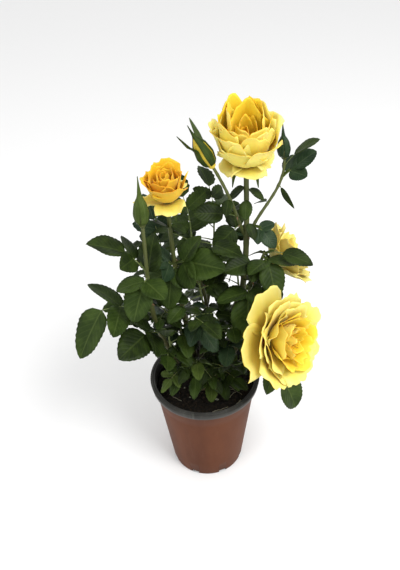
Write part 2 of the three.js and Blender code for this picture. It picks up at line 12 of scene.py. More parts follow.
import bmesh
import bpy
from mathutils import Matrix, Quaternion, Vector, noise
from mathutils.kdtree import KDTree


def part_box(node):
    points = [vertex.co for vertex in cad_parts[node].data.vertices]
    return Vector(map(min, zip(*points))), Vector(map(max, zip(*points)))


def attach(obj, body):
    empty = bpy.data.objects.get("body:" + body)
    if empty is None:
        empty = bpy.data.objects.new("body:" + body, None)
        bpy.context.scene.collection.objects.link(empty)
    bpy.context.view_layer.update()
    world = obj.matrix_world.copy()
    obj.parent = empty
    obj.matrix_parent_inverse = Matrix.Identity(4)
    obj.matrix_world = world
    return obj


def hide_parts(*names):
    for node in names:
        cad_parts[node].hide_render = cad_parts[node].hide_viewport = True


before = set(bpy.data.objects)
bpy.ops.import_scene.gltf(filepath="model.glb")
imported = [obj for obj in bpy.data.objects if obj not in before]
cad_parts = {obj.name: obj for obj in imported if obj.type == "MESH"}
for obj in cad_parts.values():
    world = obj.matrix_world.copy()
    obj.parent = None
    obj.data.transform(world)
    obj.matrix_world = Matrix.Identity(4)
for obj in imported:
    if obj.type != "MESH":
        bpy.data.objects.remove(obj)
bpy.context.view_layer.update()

# %% [markdown]
# ## Camera
#
# The camera comes first, because it decides how much detail a piece needs. A plant that stands on
# the ground is seen from above by someone standing near it, so the camera looks down steeply. Its
# direction is two turns: a tip down from the horizon, and a small roll about its own line of sight.
# A constraint could aim it at the plant, but two angles are easier to read and to change.

# %% Camera
EYE = Vector((-0.001, -0.546, 0.701))  # metres
LOOK_DOWN = 37.1  # degrees
ROLL = -2.59  # degrees
LENS = 37.9  # millimetres


def make_camera():
    data = bpy.data.cameras.new("camera")
    data.lens = LENS
    data.clip_start = 0.05
    data.clip_end = 50
    camera = bpy.data.objects.new("camera", data)
    bpy.context.scene.collection.objects.link(camera)
    tip = Matrix.Rotation(math.radians(90 - LOOK_DOWN), 4, "X")
    camera.matrix_world = Matrix.Translation(EYE) @ tip @ Matrix.Rotation(math.radians(ROLL), 4, "Z")
    bpy.context.scene.camera = camera
    print("the camera looks down by", LOOK_DOWN, "degrees through a lens of", LENS, "mm")


make_camera()

# %% [markdown]
# ## Small tools
#
# The plant is grown by rules, so a few tools come back everywhere. `seeded` is a Park-Miller
# generator: it deals the same row of numbers for the same seed. Python's own random module could deal
# them, but the frame's shoots were grown with this generator, and the leaves have to meet them.
# `heading` turns a compass direction and a rise into a unit vector. All sizes in the tables below are
# millimetres, and `MM` turns them into Blender's metres.

# %% Numbers and directions
MM = 0.001
GAP = 0.3 * MM  # between the end of a limb and the flower on it
UP = Vector((0, 0, 1))


def seeded(seed):
    state = seed

    def draw(low, high):
        nonlocal state
        state = state * 48271 % 2147483647
        return low + (high - low) * state / 2147483647

    return draw


def heading(azimuth, rise):
    a, e = math.radians(azimuth), math.radians(rise)
    return Vector((math.cos(a) * math.cos(e), math.sin(a) * math.cos(e), math.sin(e)))


def leaf_frame(azimuth, rise, roll):
    """Directions of a blade: along it, across it, and square to its upper face."""
    along = heading(azimuth, rise)
    a = math.radians(azimuth)
    across = Vector((math.sin(a), -math.cos(a), 0))
    face = across.cross(along)
    turn = Quaternion(along, math.radians(roll))
    return along, turn @ across, turn @ face


print("a blade that lies flat towards +X faces", tuple(leaf_frame(0, 0, 0)[2]))

# %% [markdown]
# A plant has hundreds of leaves, and an object for each one would be slow to load and to render. So a
# piece holds all the shapes of one kind. Each shape is made in a small bmesh of its own and then
# poured into its piece, which keeps the operators quick however large the piece grows. A piece rides
# on the plant's root body and hides the solids of the frame that it replaces.

# %% Pieces
UV_NAME = "OFBake"
PIECES = {}


def new_mesh():
    bm = bmesh.new()
    bm.loops.layers.uv.new(UV_NAME)
    return bm


def pour(whole, part):
    """Adds one small bmesh to a piece's bmesh and frees it."""
    part.normal_update()
    mesh = bpy.data.meshes.new("part")
    part.to_mesh(mesh)
    part.free()
    whole.from_mesh(mesh)
    bpy.data.meshes.remove(mesh)


def piece(name, whole, finishes, slot, nodes):
    """Turns a bmesh into a piece that rides on the plant and stands for the named solids."""
    mesh = bpy.data.meshes.new(name)
    whole.to_mesh(mesh)
    whole.free()
    for finish in finishes:
        mesh.materials.append(finish)
    made = bpy.data.objects.new(name, mesh)
    bpy.context.scene.collection.objects.link(made)
    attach(made, "root")
    if nodes:
        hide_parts(*nodes)
    mesh.calc_loop_triangles()
    PIECES[name] = len(mesh.loop_triangles)
    print(f"{name}: {len(mesh.loop_triangles)} triangles")
    return made


# %% [markdown]
# Leaves, petals and sepals are thin blades. A blade could be one face thick, but its edge would
# vanish when it is seen from the side, and a real blade has two faces of different colours. So a
# `sheet` is a grid that is bent into place point by point and given its thickness by `solidify`.
#
# Its UV map has one column for each tone of leaf or petal, with the upper face in the lower half and
# the back in the upper half. The finishes read it to find the midrib and the tip.

# %% Sheets
def sheet(whole, across, along, place, thickness, tone, tones):
    """A closed blade from place(u, t): u runs from -1 to 1 across it, t from 0 to 1 along it."""
    bm = new_mesh()
    uv = bm.loops.layers.uv.active
    bmesh.ops.create_grid(bm, x_segments=across, y_segments=along, size=1)
    for face in bm.faces:
        face.smooth = True
        face.material_index = 2 * tone
        for loop in face.loops:
            u, v = loop.vert.co.x, loop.vert.co.y
            loop[uv].uv = ((tone + (u + 1) / 2) / tones, (v + 1) / 4)
    for vert in bm.verts:
        vert.co = place(vert.co.x, (vert.co.y + 1) / 2)
    bmesh.ops.remove_doubles(bm, verts=bm.verts, dist=0.02 * MM)
    bmesh.ops.dissolve_degenerate(bm, edges=bm.edges, dist=0.01 * MM)
    bm.normal_update()
    front = {vert: vert.link_loops[0][uv].uv.copy() for vert in bm.verts if vert.link_loops}
    bmesh.ops.solidify(bm, geom=bm.faces[:], thickness=thickness)
    for face in bm.faces:
        face.smooth = True
        ahead = sum(vert in front for vert in face.verts)
        if ahead == 0:
            face.material_index = 2 * tone + 1
            for loop in face.loops:
                loop[uv].uv.y += 0.5
        elif ahead < len(face.verts):
            # a face of the rim takes the colour of the front's edge
            for loop in face.loops:
                near = [loop, loop.link_loop_next, loop.link_loop_prev]
                loop[uv].uv = next(front[at.vert] for at in near if at.vert in front)
    pour(whole, bm)


# %% [markdown]
# Canes, stalks, prickles and stamens are round and bent. A curve with a bevel could make them, but a
# mesh lets each ring swell by itself, so a `tube` is a grid rolled round a path, welded along its seam
# and closed at both ends. The pot, the compost, the crown and the hips are turned shapes: a `lathe`
# spins their outline round the upright axis and then moves the points where that is asked for.

# %% Tubes and turned shapes
def tube(whole, path, radius, sides):
    """A round limb along a list of points; radius(t, turn) may vary along it and round it."""
    bm = new_mesh()
    steps = len(path) - 1
    rings = []
    side = Vector((1, 0.2, 0)).cross((path[1] - path[0]).normalized())
    for i, at in enumerate(path):
        tangent = (path[min(i + 1, steps)] - path[max(i - 1, 0)]).normalized()
        side = (side - tangent * side.dot(tangent)).normalized()
        rings.append((at, side.copy(), tangent.cross(side)))
    bmesh.ops.create_grid(bm, x_segments=sides, y_segments=steps, size=1)
    for vert in bm.verts:
        t = (vert.co.y + 1) / 2
        turn = math.pi * vert.co.x
        at, one, other = rings[round(t * steps)]
        vert.co = at + radius(t, turn) * (one * math.cos(turn) + other * math.sin(turn))
    bmesh.ops.remove_doubles(bm, verts=bm.verts, dist=0.001 * MM)
    bmesh.ops.edgeloop_fill(bm, edges=[edge for edge in bm.edges if edge.is_boundary])
    bmesh.ops.recalc_face_normals(bm, faces=bm.faces)
    for face in bm.faces:
        face.smooth = len(face.verts) == 4
    pour(whole, bm)


def lathe(whole, profile, steps, material=0, place=None):
    """A turned shape from (radius, height) points, moved afterwards by place if that is given."""
    bm = new_mesh()
    verts = [bm.verts.new((r, 0, z)) for r, z in profile]
    edges = [bm.edges.new(pair) for pair in zip(verts, verts[1:])]
    bmesh.ops.spin(bm, geom=verts + edges, axis=UP, cent=(0, 0, 0), angle=math.tau, steps=steps,
                   use_merge=True)
    bmesh.ops.remove_doubles(bm, verts=bm.verts, dist=0.001 * MM)
    bmesh.ops.recalc_face_normals(bm, faces=bm.faces)
    for face in bm.faces:
        face.smooth = True
        face.material_index = material
    if place:
        for vert in bm.verts:
            vert.co = place(vert.co)
    pour(whole, bm)


# %% [markdown]
# Limbs follow cubic curves and shoots follow quadratic ones. A stalk has only a few given points, so
# a Catmull-Rom curve rounds it off. Blender's curve objects could hold these paths, but the leaves are
# dealt out along the same paths, so it is simpler to work out any point of them here.

# %% Curves
def bezier(points, t):
    """The point at t on a Bezier curve of any degree, by halving lines again and again."""
    while len(points) > 1:
        points = [a.lerp(b, t) for a, b in zip(points, points[1:])]
    return points[0]


def bezier_tangent(points, t):
    step = 1e-3
    return (bezier(points, min(1, t + step)) - bezier(points, max(0, t - step))).normalized()


def rounded(points, per):
    """A smooth path through the given points, with per steps between two of them."""
    ends = [2 * points[0] - points[1], *points, 2 * points[-1] - points[-2]]
    path = []
    for a, b, c, d in zip(ends, ends[1:], ends[2:], ends[3:]):
        for k in range(per):
            t = k / per
            path.append(0.5 * (2 * b + (c - a) * t + (2 * a - 5 * b + 4 * c - d) * t * t
                               + (3 * b - 3 * c + d - a) * t ** 3))
    return [*path, points[-1]]


print("half way along an arch:", tuple(bezier([Vector((0, 0, 0)), UP, Vector((1, 0, 0))], 0.5)))

# %% [markdown]
# ## Finishes
#
# Each finish is a node tree on the Principled shader. `Finish` is a thin wrapper that adds and links
# nodes in one line. Numbers that are the same all over a surface are set on the shader's own
# sockets, and only what varies over the surface is linked.

# %% Node helper
class Finish:
    """A material whose nodes are added and linked by short calls."""

    def __init__(self, name, **sockets):
        self.material = bpy.data.materials.new(name)
        self.material.use_nodes = True
        self.tree = self.material.node_tree
        self.shader = self.tree.nodes["Principled BSDF"]
        for key, value in sockets.items():
            self.put(self.shader.inputs[key.replace("_", " ")], value)

    def put(self, socket, value):
        if isinstance(value, bpy.types.NodeSocket):
            self.tree.links.new(value, socket)
        elif isinstance(value, tuple) and len(value) == 3 and socket.type == "RGBA":
            socket.default_value = (*value, 1)
        else:
            socket.default_value = value

    def add(self, kind, inputs, **settings):
        node = self.tree.nodes.new("ShaderNode" + kind)
        for key, value in settings.items():
            setattr(node, key, value)
        for key, value in inputs.items():
            self.put(node.inputs[key], value)
        return node

    def math(self, operation, a, b=0.0):
        return self.add("Math", {0: a, 1: b}, operation=operation).outputs[0]

    def smooth(self, value, low, high, start=0.0, end=1.0):
        """Eases from start to end while value goes from low to high."""
        steps = {"Value": value, "From Min": low, "From Max": high, "To Min": start, "To Max": end}
        return self.add("MapRange", steps, interpolation_type="SMOOTHSTEP").outputs[0]

    def mix(self, factor, a, b):
        node = self.add("Mix", {"Factor": factor}, data_type="RGBA")
        self.put(node.inputs[6], a)
        self.put(node.inputs[7], b)
        return node.outputs[2]

    def place(self):
        return self.add("TexCoord", {}).outputs["Object"]

    def stretch(self, vector, scale):
        return self.add("Mapping", {"Vector": vector, "Scale": scale}).outputs[0]

    def noise(self, vector, scale, detail=3.0, roughness=0.55):
        sizes = {"Vector": vector, "Scale": scale, "Detail": detail, "Roughness": roughness}
        return self.add("TexNoise", sizes).outputs["Fac"]

    def ramp(self, value, *stops):
        """A colour ramp; each stop is (position, colour)."""
        node = self.add("ValToRGB", {"Fac": value})
        elements = node.color_ramp.elements
        while len(elements) < len(stops):
            elements.new(0.5)
        for element, (position, color) in zip(elements, stops):
            element.position = position
            element.color = (*color, 1)
        return node.outputs["Color"]

    def bump(self, height, strength, distance):
        sizes = {"Height": height, "Strength": strength, "Distance": distance}
        self.put(self.shader.inputs["Normal"], self.add("Bump", sizes).outputs[0])

    def color(self, value):
        self.put(self.shader.inputs["Base Color"], value)

    def blade(self, tones):
        """Across (0 at the midrib, 1 at the edge), the raw u, and along (0 at the foot) on a sheet."""
        uv = self.add("UVMap", {}, uv_map=UV_NAME).outputs[0]
        axes = self.add("SeparateXYZ", {"Vector": uv})
        u = self.math("FRACT", self.math("MULTIPLY", axes.outputs["X"], float(tones)))
        v = self.math("FRACT", self.math("MULTIPLY", axes.outputs["Y"], 2.0))
        across = self.math("ABSOLUTE", self.math("SUBTRACT", self.math("MULTIPLY", u, 2.0), 1.0))
        return across, u, v


# %% [markdown]
# A rose leaf is dark and half glossy above, with a pale midrib and side veins that run forward to the
# teeth; between the veins it swells like a quilt. Below it is paler and dull. The veins are drawn
# from the sheet's UV map: a midrib where `across` is near zero, and side veins as a triangle wave
# whose phase slides forward with the distance from the midrib. The same wave gives the bump. A painted
# texture could be laid on instead, but nodes stay sharp up close and need no file.

# %% Leaf finishes
SIDE_VEINS = 8.0
VEIN_SLANT = 2.6
LEAF_RELIEF = 0.3
PALE_BACK = (0.060, 0.084, 0.036)


def leaf_finish(name, dark, light, vein, roughness, relief):
    finish = Finish(name, Roughness=roughness, Specular_IOR_Level=0.10)
    across, _, along = finish.blade(len(LEAF_TONES))
    phase = finish.math("SUBTRACT", finish.math("MULTIPLY", along, SIDE_VEINS),
                        finish.math("MULTIPLY", across, VEIN_SLANT))
    wave = finish.math("PINGPONG", phase, 0.5)
    side_veins = finish.smooth(wave, 0.0, 0.09, 1.0, 0.0)
    midrib = finish.smooth(across, 0.01, 0.09, 1.0, 0.0)
    veins = finish.math("MAXIMUM", midrib, finish.math("MULTIPLY", side_veins, 0.55))
    blotch = finish.smooth(finish.noise(finish.place(), 60.0), 0.35, 0.68)
    finish.color(finish.mix(finish.math("MULTIPLY", veins, 0.32), finish.mix(blotch, dark, light), vein))
    quilt = finish.smooth(wave, 0.0, 0.4)
    height = finish.math("SUBTRACT", quilt, finish.math("MULTIPLY", midrib, 1.2))
    finish.bump(height, relief, 0.0005)
    return finish.material


# Each tone: its darker and its lighter patches, its veins, and its roughness.
LEAF_TONES = {
    "dark": ((0.009, 0.017, 0.003), (0.023, 0.040, 0.006), (0.068, 0.098, 0.022), 0.44),
    "mid": ((0.016, 0.031, 0.004), (0.033, 0.057, 0.009), (0.095, 0.134, 0.034), 0.47),
    "fresh": ((0.036, 0.058, 0.009), (0.062, 0.092, 0.017), (0.140, 0.175, 0.055), 0.50),
    # The waxy tone is tinted blue-grey: partly a real waxy bloom, partly a painted reflection of the pale
    # sky on glossy leaves.
    "waxy_and_sky_reflection": ((0.015, 0.032, 0.014), (0.031, 0.055, 0.025), (0.092, 0.126, 0.064), 0.34),
}
LEAF_FINISHES = []
for tone, (dark, light, vein, roughness) in LEAF_TONES.items():
    LEAF_FINISHES.append(leaf_finish(f"leaf_{tone}", dark, light, vein, roughness, LEAF_RELIEF))
    pale = tuple(0.4 * a + 0.6 * b for a, b in zip(light, PALE_BACK))
    paler = tuple(1.2 * c for c in pale)
    LEAF_FINISHES.append(leaf_finish(f"leaf_{tone}_back_dull_and_shaded", pale, paler, vein, 0.7, -LEAF_RELIEF))
TONE = {name: i for i, name in enumerate(LEAF_TONES)}
print("leaf finishes:", [finish.name for finish in LEAF_FINISHES])

# %% [markdown]
# A petal is velvety, so it has sheen and little gloss. It is golden at its foot and fades to lemon
# and then to a paler yellow at the rim. Its back is darker and duller, partly its own colour and
# partly painted shade. Fine streaks run along it. One flat colour would do from afar, but the glow in
# a rose's heart comes from the deeper foot of each petal, so the colour is a ramp over the UV map's
# length, with the sides counted as nearer to the rim. A fresh bloom is orange all through and an old
# one is pale; the faded tone is darker as well, painted shade for petals that lie in shadow. So there
# are four tones.

# %% Petal finishes
def petal_finish(name, foot, middle, rim, roughness):
    finish = Finish(name, Roughness=roughness, Specular_IOR_Level=0.25, Sheen_Weight=0.10,
                    Sheen_Roughness=0.5, Subsurface_Weight=0.12, Subsurface_Scale=0.004)
    across, u, along = finish.blade(len(PETAL_TONES))
    outward = finish.math("MULTIPLY", finish.math("POWER", across, 3.0), 0.16)
    far = finish.math("ADD", finish.math("MULTIPLY", along, 0.9), outward)
    streak_place = finish.add("CombineXYZ", {0: finish.math("MULTIPLY", u, 38.0), 1: along}).outputs[0]
    streak = finish.noise(streak_place, 1.6, 4.0, 0.6)
    wander = finish.math("MULTIPLY", finish.math("SUBTRACT", streak, 0.5), 0.22)
    finish.color(finish.ramp(finish.math("ADD", far, wander), (0.12, foot), (0.55, middle), (1.0, rim)))
    finish.bump(streak, 0.16, 0.0006)
    return finish.material


# Each tone: the colour at the petal's foot, in its middle and at its rim, on its front and its back.
PETAL_TONES = {
    "fresh": ((0.74, 0.29, 0.004), (0.79, 0.41, 0.007), (0.82, 0.52, 0.022)),
    "golden": ((0.78, 0.37, 0.004), (0.85, 0.55, 0.012), (0.89, 0.70, 0.060)),
    "lemon": ((0.76, 0.46, 0.015), (0.82, 0.64, 0.070), (0.86, 0.77, 0.230)),
    # The faded tone is darker and duller: partly the pale of an old bloom, partly painted shade for petals
    # and a bloom that lie in shadow.
    "faded_and_shaded": ((0.64, 0.47, 0.035), (0.70, 0.57, 0.090), (0.76, 0.67, 0.210)),
}
# The backs are darker and duller than the fronts: partly their own colour, partly painted shade.
PETAL_BACKS_DULL_AND_SHADED = {
    "fresh": ((0.50, 0.34, 0.020), (0.72, 0.42, 0.016), (0.78, 0.51, 0.035)),
    "golden": ((0.56, 0.44, 0.055), (0.80, 0.61, 0.075), (0.87, 0.72, 0.150)),
    "lemon": ((0.54, 0.46, 0.080), (0.80, 0.64, 0.110), (0.87, 0.74, 0.190)),
    "faded_and_shaded": ((0.42, 0.39, 0.095), (0.58, 0.50, 0.120), (0.70, 0.61, 0.200)),
}
PETAL_FINISHES = []
for tone, colors in PETAL_TONES.items():
    PETAL_FINISHES.append(petal_finish(f"petal_{tone}", *colors, 0.55))
    PETAL_FINISHES.append(petal_finish(f"petal_{tone}_back_dull_and_shaded", *PETAL_BACKS_DULL_AND_SHADED[tone], 0.65))
BLUSH = {name: i for i, name in enumerate(PETAL_TONES)}
print("petal finishes:", [finish.name for finish in PETAL_FINISHES])

# %% [markdown]
# Canes are brown and corky near the compost and turn to smooth green higher up, and leaf stalks are
# flushed with red low down. Small corky dots are scattered over all of it. Each limb could have a
# finish of its own, but the change follows the height above the ground, which Object coordinates give
# alike for every limb, so one function makes them all.

# %% Bark and stalk finishes
def bark_finish(name, low, high, foot, head, dots, roughness, relief):
    """From the colour low to the colour high, between the heights foot and head."""
    finish = Finish(name, Roughness=roughness, Specular_IOR_Level=0.35)
    place = finish.place()
    height = finish.add("SeparateXYZ", {"Vector": place}).outputs["Z"]
    patchy = finish.noise(finish.stretch(place, (1, 1, 0.25)), 260.0, 4.0)
    wander = finish.math("MULTIPLY", finish.math("SUBTRACT", patchy, 0.5), 0.10)
    climb = finish.smooth(finish.math("ADD", height, wander), foot, head)
    corky = finish.smooth(finish.noise(place, 900.0, 1.0), 0.62, 0.70)
    finish.color(finish.mix(finish.math("MULTIPLY", corky, 0.6), finish.mix(climb, low, high), dots))
    finish.bump(finish.math("ADD", patchy, corky), relief, 0.0006)
    return finish.material


CANE = bark_finish("cane_bark", (0.050, 0.044, 0.016), (0.070, 0.083, 0.020), 0.150, 0.330,
                   (0.080, 0.055, 0.025), 0.52, 0.35)
BRANCH = bark_finish("branch_green", (0.060, 0.074, 0.018), (0.078, 0.094, 0.022), 0.300, 0.420,
                     (0.080, 0.050, 0.025), 0.50, 0.20)
CROWN = bark_finish("crown_bark", (0.050, 0.036, 0.020), (0.110, 0.085, 0.045), 0.130, 0.148,
                    (0.030, 0.022, 0.014), 0.85, 0.90)
STALK = bark_finish("leaf_stalk", (0.110, 0.060, 0.025), (0.125, 0.165, 0.045), 0.135, 0.190,
                    (0.140, 0.070, 0.040), 0.48, 0.20)
PRICKLE = bark_finish("prickle", (0.160, 0.060, 0.030), (0.220, 0.120, 0.060), 0.150, 0.350,
                      (0.100, 0.050, 0.030), 0.45, 0.10)
print("bark finishes:", [finish.name for finish in (CANE, BRANCH, CROWN, STALK, PRICKLE)])

# %% [markdown]
# ## The pot
#
# The pot is a two-layer nursery pot: brown plastic outside, black inside and over the rim. Such
# plastic is thin and dull, with faint streaks from the mould, rubbed places and specks of dust. One
# even colour would look new and lifeless, so noise that is stretched upwards makes the streaks and
# fine noise the specks. One function makes the brown, the black and the pale band under the rim,
# which is a painted highlight along the skirt's lower edge as well as wear.

# %% Pot finishes
def plastic_finish(name, low, high, scuff, roughness, edge_dust):
    finish = Finish(name, Roughness=roughness, Specular_IOR_Level=0.16)
    place = finish.place()
    mottle = finish.noise(finish.stretch(place, (1, 1, 0.35)), 22.0, 5.0)
    base = finish.mix(finish.smooth(mottle, 0.32, 0.68), low, high)
    streak = finish.noise(finish.stretch(place, (1, 1, 0.06)), 160.0, 3.0)
    specks = finish.smooth(finish.noise(place, 420.0, 2.0), 0.66, 0.78)
    rubbed = finish.math("MULTIPLY", finish.smooth(streak, 0.55, 0.80), edge_dust)
    worn = finish.math("MAXIMUM", rubbed, finish.math("MULTIPLY", specks, edge_dust))
    finish.color(finish.mix(worn, base, scuff))
    finish.bump(finish.noise(place, 700.0, 2.0), 0.12, 0.0003)
    return finish.material


POT_BROWN = plastic_finish("pot_brown", (0.078, 0.021, 0.006), (0.115, 0.034, 0.011),
                           (0.180, 0.090, 0.055), 0.58, 0.16)
POT_BLACK = plastic_finish("pot_black", (0.020, 0.020, 0.018), (0.050, 0.049, 0.044),
                           (0.160, 0.160, 0.140), 0.42, 0.30)
# The pale edge under the rim: a painted highlight along the skirt's lower edge, and wear.
POT_EDGE_HIGHLIGHT_AND_WEAR = plastic_finish("pot_worn_edge_and_highlight", (0.150, 0.140, 0.120), (0.260, 0.240, 0.210),
                          (0.400, 0.370, 0.330), 0.55, 0.40)
print("pot finishes:", [finish.name for finish in (POT_BROWN, POT_BLACK, POT_EDGE_HIGHLIGHT_AND_WEAR)])

# %% [markdown]
# The pot could be stacked up from cylinders, but it is really one wall turned round an axis, so it is
# a profile that `spin` turns. The rim has two fine grooves on top and a skirt that stands off the
# body. Which face is brown, black or pale is read off from where the face lies; the pale band along
# the skirt's lower edge is a painted highlight as well as wear.

# %% Pot
POT_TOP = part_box("pot")[1].z
RIM_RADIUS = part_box("pot")[1].x
RIM_SKIRT = 9.4 * MM
LIP_WIDTH = 6.5 * MM
BODY_RADIUS = 64.5 * MM
BASE_RADIUS = 48 * MM
WALL = 1.8 * MM
FLOOR = 3 * MM
FOOT_ROUND = 1.8 * MM
LIP_FACES = 12
LIP_GROOVE = 0.5 * MM
POT_FACES = 128


def pot_profile():
    skirt = POT_TOP - RIM_SKIRT
    inner = RIM_RADIUS - LIP_WIDTH
    foot = [(0, 0), (0.6 * BASE_RADIUS, 0), (BASE_RADIUS - FOOT_ROUND, 0),
            (BASE_RADIUS - 0.5 * MM, 0.5 * MM), (BASE_RADIUS, FOOT_ROUND)]
    body = [(BASE_RADIUS + (BODY_RADIUS - BASE_RADIUS) * i / 6, FOOT_ROUND + (skirt - FOOT_ROUND) * i / 6)
            for i in range(1, 7)]
    under = [(RIM_RADIUS - 1.9 * MM, skirt), (RIM_RADIUS - 1.3 * MM, skirt + 0.5 * MM)]
    lip = []
    for i in range(LIP_FACES + 1):
        share = i / LIP_FACES
        crest = LIP_GROOVE * math.cos(math.tau * 2.5 * share)
        rounding = 1.1 * MM * (2 * abs(share - 0.5)) ** 6
        lip.append((RIM_RADIUS - LIP_WIDTH * share, POT_TOP - LIP_GROOVE + crest - rounding))
    inside = [(inner, POT_TOP - 4 * MM), (inner - 0.7 * MM, POT_TOP - 4.6 * MM),
              (BODY_RADIUS - WALL, skirt - 2 * MM), (BASE_RADIUS - WALL, FLOOR), (0, FLOOR)]
    return foot + body + under + lip + inside


def make_pot():
    whole = new_mesh()
    lathe(whole, pot_profile(), POT_FACES)
    skirt = POT_TOP - RIM_SKIRT
    for face in whole.faces:
        at = face.calc_center_median()
        radius = math.hypot(at.x, at.y)
        wall = BASE_RADIUS + (BODY_RADIUS - BASE_RADIUS) * at.z / skirt - WALL / 2
        under_skirt = abs(at.z - skirt) < 0.8 * MM and radius > BODY_RADIUS + 1 * MM
        inside = radius < wall and at.z > 1 * MM
        # the skirt's lower edge takes the pale finish, a painted highlight with wear
        face.material_index = 2 if under_skirt else int(inside or at.z > skirt)
    return piece("pot_shell", whole, [POT_BROWN, POT_BLACK, POT_EDGE_HIGHLIGHT_AND_WEAR], "pot_plastic", ["pot"])


pot = make_pot()

# %% [markdown]
# Water leaves the pot through drains: notches through the corner of its foot. A turned profile can't
# hold them, and moving points by hand would spoil the round foot, so eight boxes are cut out of the
# finished wall by a Boolean. The cut mesh is then kept and the boxes are thrown away.

# %% Drains
DRAINS = 8
DRAIN_SIZE = Vector((12, 10, 8)) * MM


def drain_boxes():
    whole = new_mesh()
    for i in range(DRAINS):
        box = new_mesh()
        bmesh.ops.create_cube(box, size=1)
        bmesh.ops.scale(box, vec=DRAIN_SIZE, verts=box.verts)
        bmesh.ops.translate(box, vec=(BASE_RADIUS - 3 * MM, 0, 1 * MM), verts=box.verts)
        spin = Matrix.Rotation(math.tau * (i + 0.5) / DRAINS, 3, "Z")
        bmesh.ops.rotate(box, matrix=spin, cent=(0, 0, 0), verts=box.verts)
        for face in box.faces:
            face.material_index = 1
        pour(whole, box)
    mesh = bpy.data.meshes.new("drains")
    whole.to_mesh(mesh)
    whole.free()
    boxes = bpy.data.objects.new("drains", mesh)
    bpy.context.scene.collection.objects.link(boxes)
    return boxes


def cut_drains(pot):
    boxes = drain_boxes()
    cut = pot.modifiers.new("drains", "BOOLEAN")
    cut.object = boxes
    cut.solver = "EXACT"
    bpy.context.view_layer.update()
    done = bpy.data.meshes.new_from_object(pot.evaluated_get(bpy.context.evaluated_depsgraph_get()))
    pot.modifiers.clear()
    pot.data = done
    bpy.data.objects.remove(boxes)
    done.calc_loop_triangles()
    PIECES[pot.name] = len(done.loop_triangles)
    print("pot faces after the drains are cut:", len(done.polygons))


cut_drains(pot)

# %% [markdown]
# ## The compost
#
# Compost is dark and lumpy, and it has sunk a little under the rim. A displacement modifier could
# raise the lumps, but the crumbs and roots have to lie on them, so one function gives the height at
# any place. The plug is turned like the pot, with many rings on top that this function then lifts.

# %% Compost
SOIL_TOP = 131 * MM
SOIL_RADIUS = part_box("soil")[1].x
SOIL_RINGS = 44
SOIL_SIDES = 132


def soil_finish(name, dark, light, roughness, scale):
    finish = Finish(name, Roughness=roughness, Specular_IOR_Level=0.2)
    grain = finish.noise(finish.place(), scale, 6.0, 0.7)
    finish.color(finish.mix(finish.smooth(grain, 0.40, 0.72), dark, light))
    finish.bump(grain, 0.9, 0.002)
    return finish.material


SOIL = soil_finish("compost", (0.0035, 0.0030, 0.0020), (0.026, 0.018, 0.011), 0.95, 330.0)


def soil_height(x, y):
    """The height of the compost's surface at a place on it."""
    lumps = noise.noise(Vector((x, y, 0.3)) * 70) * 2.4 + noise.noise(Vector((x, y, 0.7)) * 190) * 1.4
    return SOIL_TOP + (lumps + noise.noise(Vector((x, y, 0.1)) * 520) * 0.6) * MM


def make_soil():
    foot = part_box("soil")[0].z
    top = [(SOIL_RADIUS * i / SOIL_RINGS, SOIL_TOP) for i in range(SOIL_RINGS, -1, -1)]
    profile = [(0, foot), (BASE_RADIUS - WALL - 0.8 * MM, foot), (SOIL_RADIUS - 0.2 * MM, SOIL_TOP - 3 * MM)]

    def place(co):
        if co.z < SOIL_TOP - 1 * MM:
            return co
        return Vector((co.x, co.y, min(soil_height(co.x, co.y), POT_TOP - 4 * MM)))

    whole = new_mesh()
    lathe(whole, profile + top, SOIL_SIDES, place=place)
    piece("compost", whole, [SOIL], "compost", ["soil"])


make_soil()

# %% [markdown]
# On the compost lie loose crumbs, a few pale grains and fine dead roots. They could be left to the
# bump of its finish, but at the rim they are seen from the side. The crumbs are icospheres with
# jittered corners, all in one piece, and the roots are thin tubes that rest on the surface.

# %% Crumbs and dead roots
CRUMB = soil_finish("compost_crumb", (0.008, 0.006, 0.004), (0.050, 0.032, 0.018), 0.95, 500.0)
PALE_GRAIN = soil_finish("pale_grain", (0.200, 0.210, 0.150), (0.320, 0.320, 0.240), 0.85, 300.0)
DRY_ROOT = soil_finish("dry_root", (0.150, 0.140, 0.095), (0.300, 0.280, 0.200), 0.8, 400.0)
CRUMBS = 260
GRAIN_EVERY = 37


def make_crumbs():
    draw = seeded(4711)
    whole = new_mesh()
    for i in range(CRUMBS):
        reach = (SOIL_RADIUS - 3 * MM) * math.sqrt(draw(0.03, 1))
        turn = draw(0, math.tau)
        size = draw(0.7, 2.2) * MM * (1.3 if i % 9 == 0 else 1)
        x, y = reach * math.cos(turn), reach * math.sin(turn)
        bm = new_mesh()
        bmesh.ops.create_icosphere(bm, subdivisions=1, radius=size)
        for vert in bm.verts:
            vert.co *= draw(0.7, 1.2)
        squeeze = Vector((draw(0.6, 1.5), draw(0.6, 1.2), draw(0.4, 0.8)))
        bmesh.ops.scale(bm, vec=squeeze, verts=bm.verts)
        spin = Matrix.Rotation(draw(0, math.tau), 3, "Z") @ Matrix.Rotation(draw(-0.5, 0.5), 3, "X")
        bmesh.ops.rotate(bm, matrix=spin, cent=(0, 0, 0), verts=bm.verts)
        bmesh.ops.translate(bm, vec=(x, y, soil_height(x, y) + 0.3 * size), verts=bm.verts)
        for face in bm.faces:
            face.material_index = int(i % GRAIN_EVERY == 5)
        pour(whole, bm)
    piece("compost_crumbs", whole, [CRUMB, PALE_GRAIN], "compost", [])


# Each dead root: its two ends and its radius, in millimetres.
DRY_ROOTS = (
    ((18, -14), (52, -20), 0.8), ((30, -30), (56, -6), 0.6), ((44, -34), (33, -52), 1.0),
    ((26, -6), (46, -30), 0.5), ((8, -52), (26, -50), 0.8), ((-30, -34), (-46, -24), 0.6),
    ((-20, 30), (10, 48), 0.6), ((34, 26), (50, 12), 0.7),
)


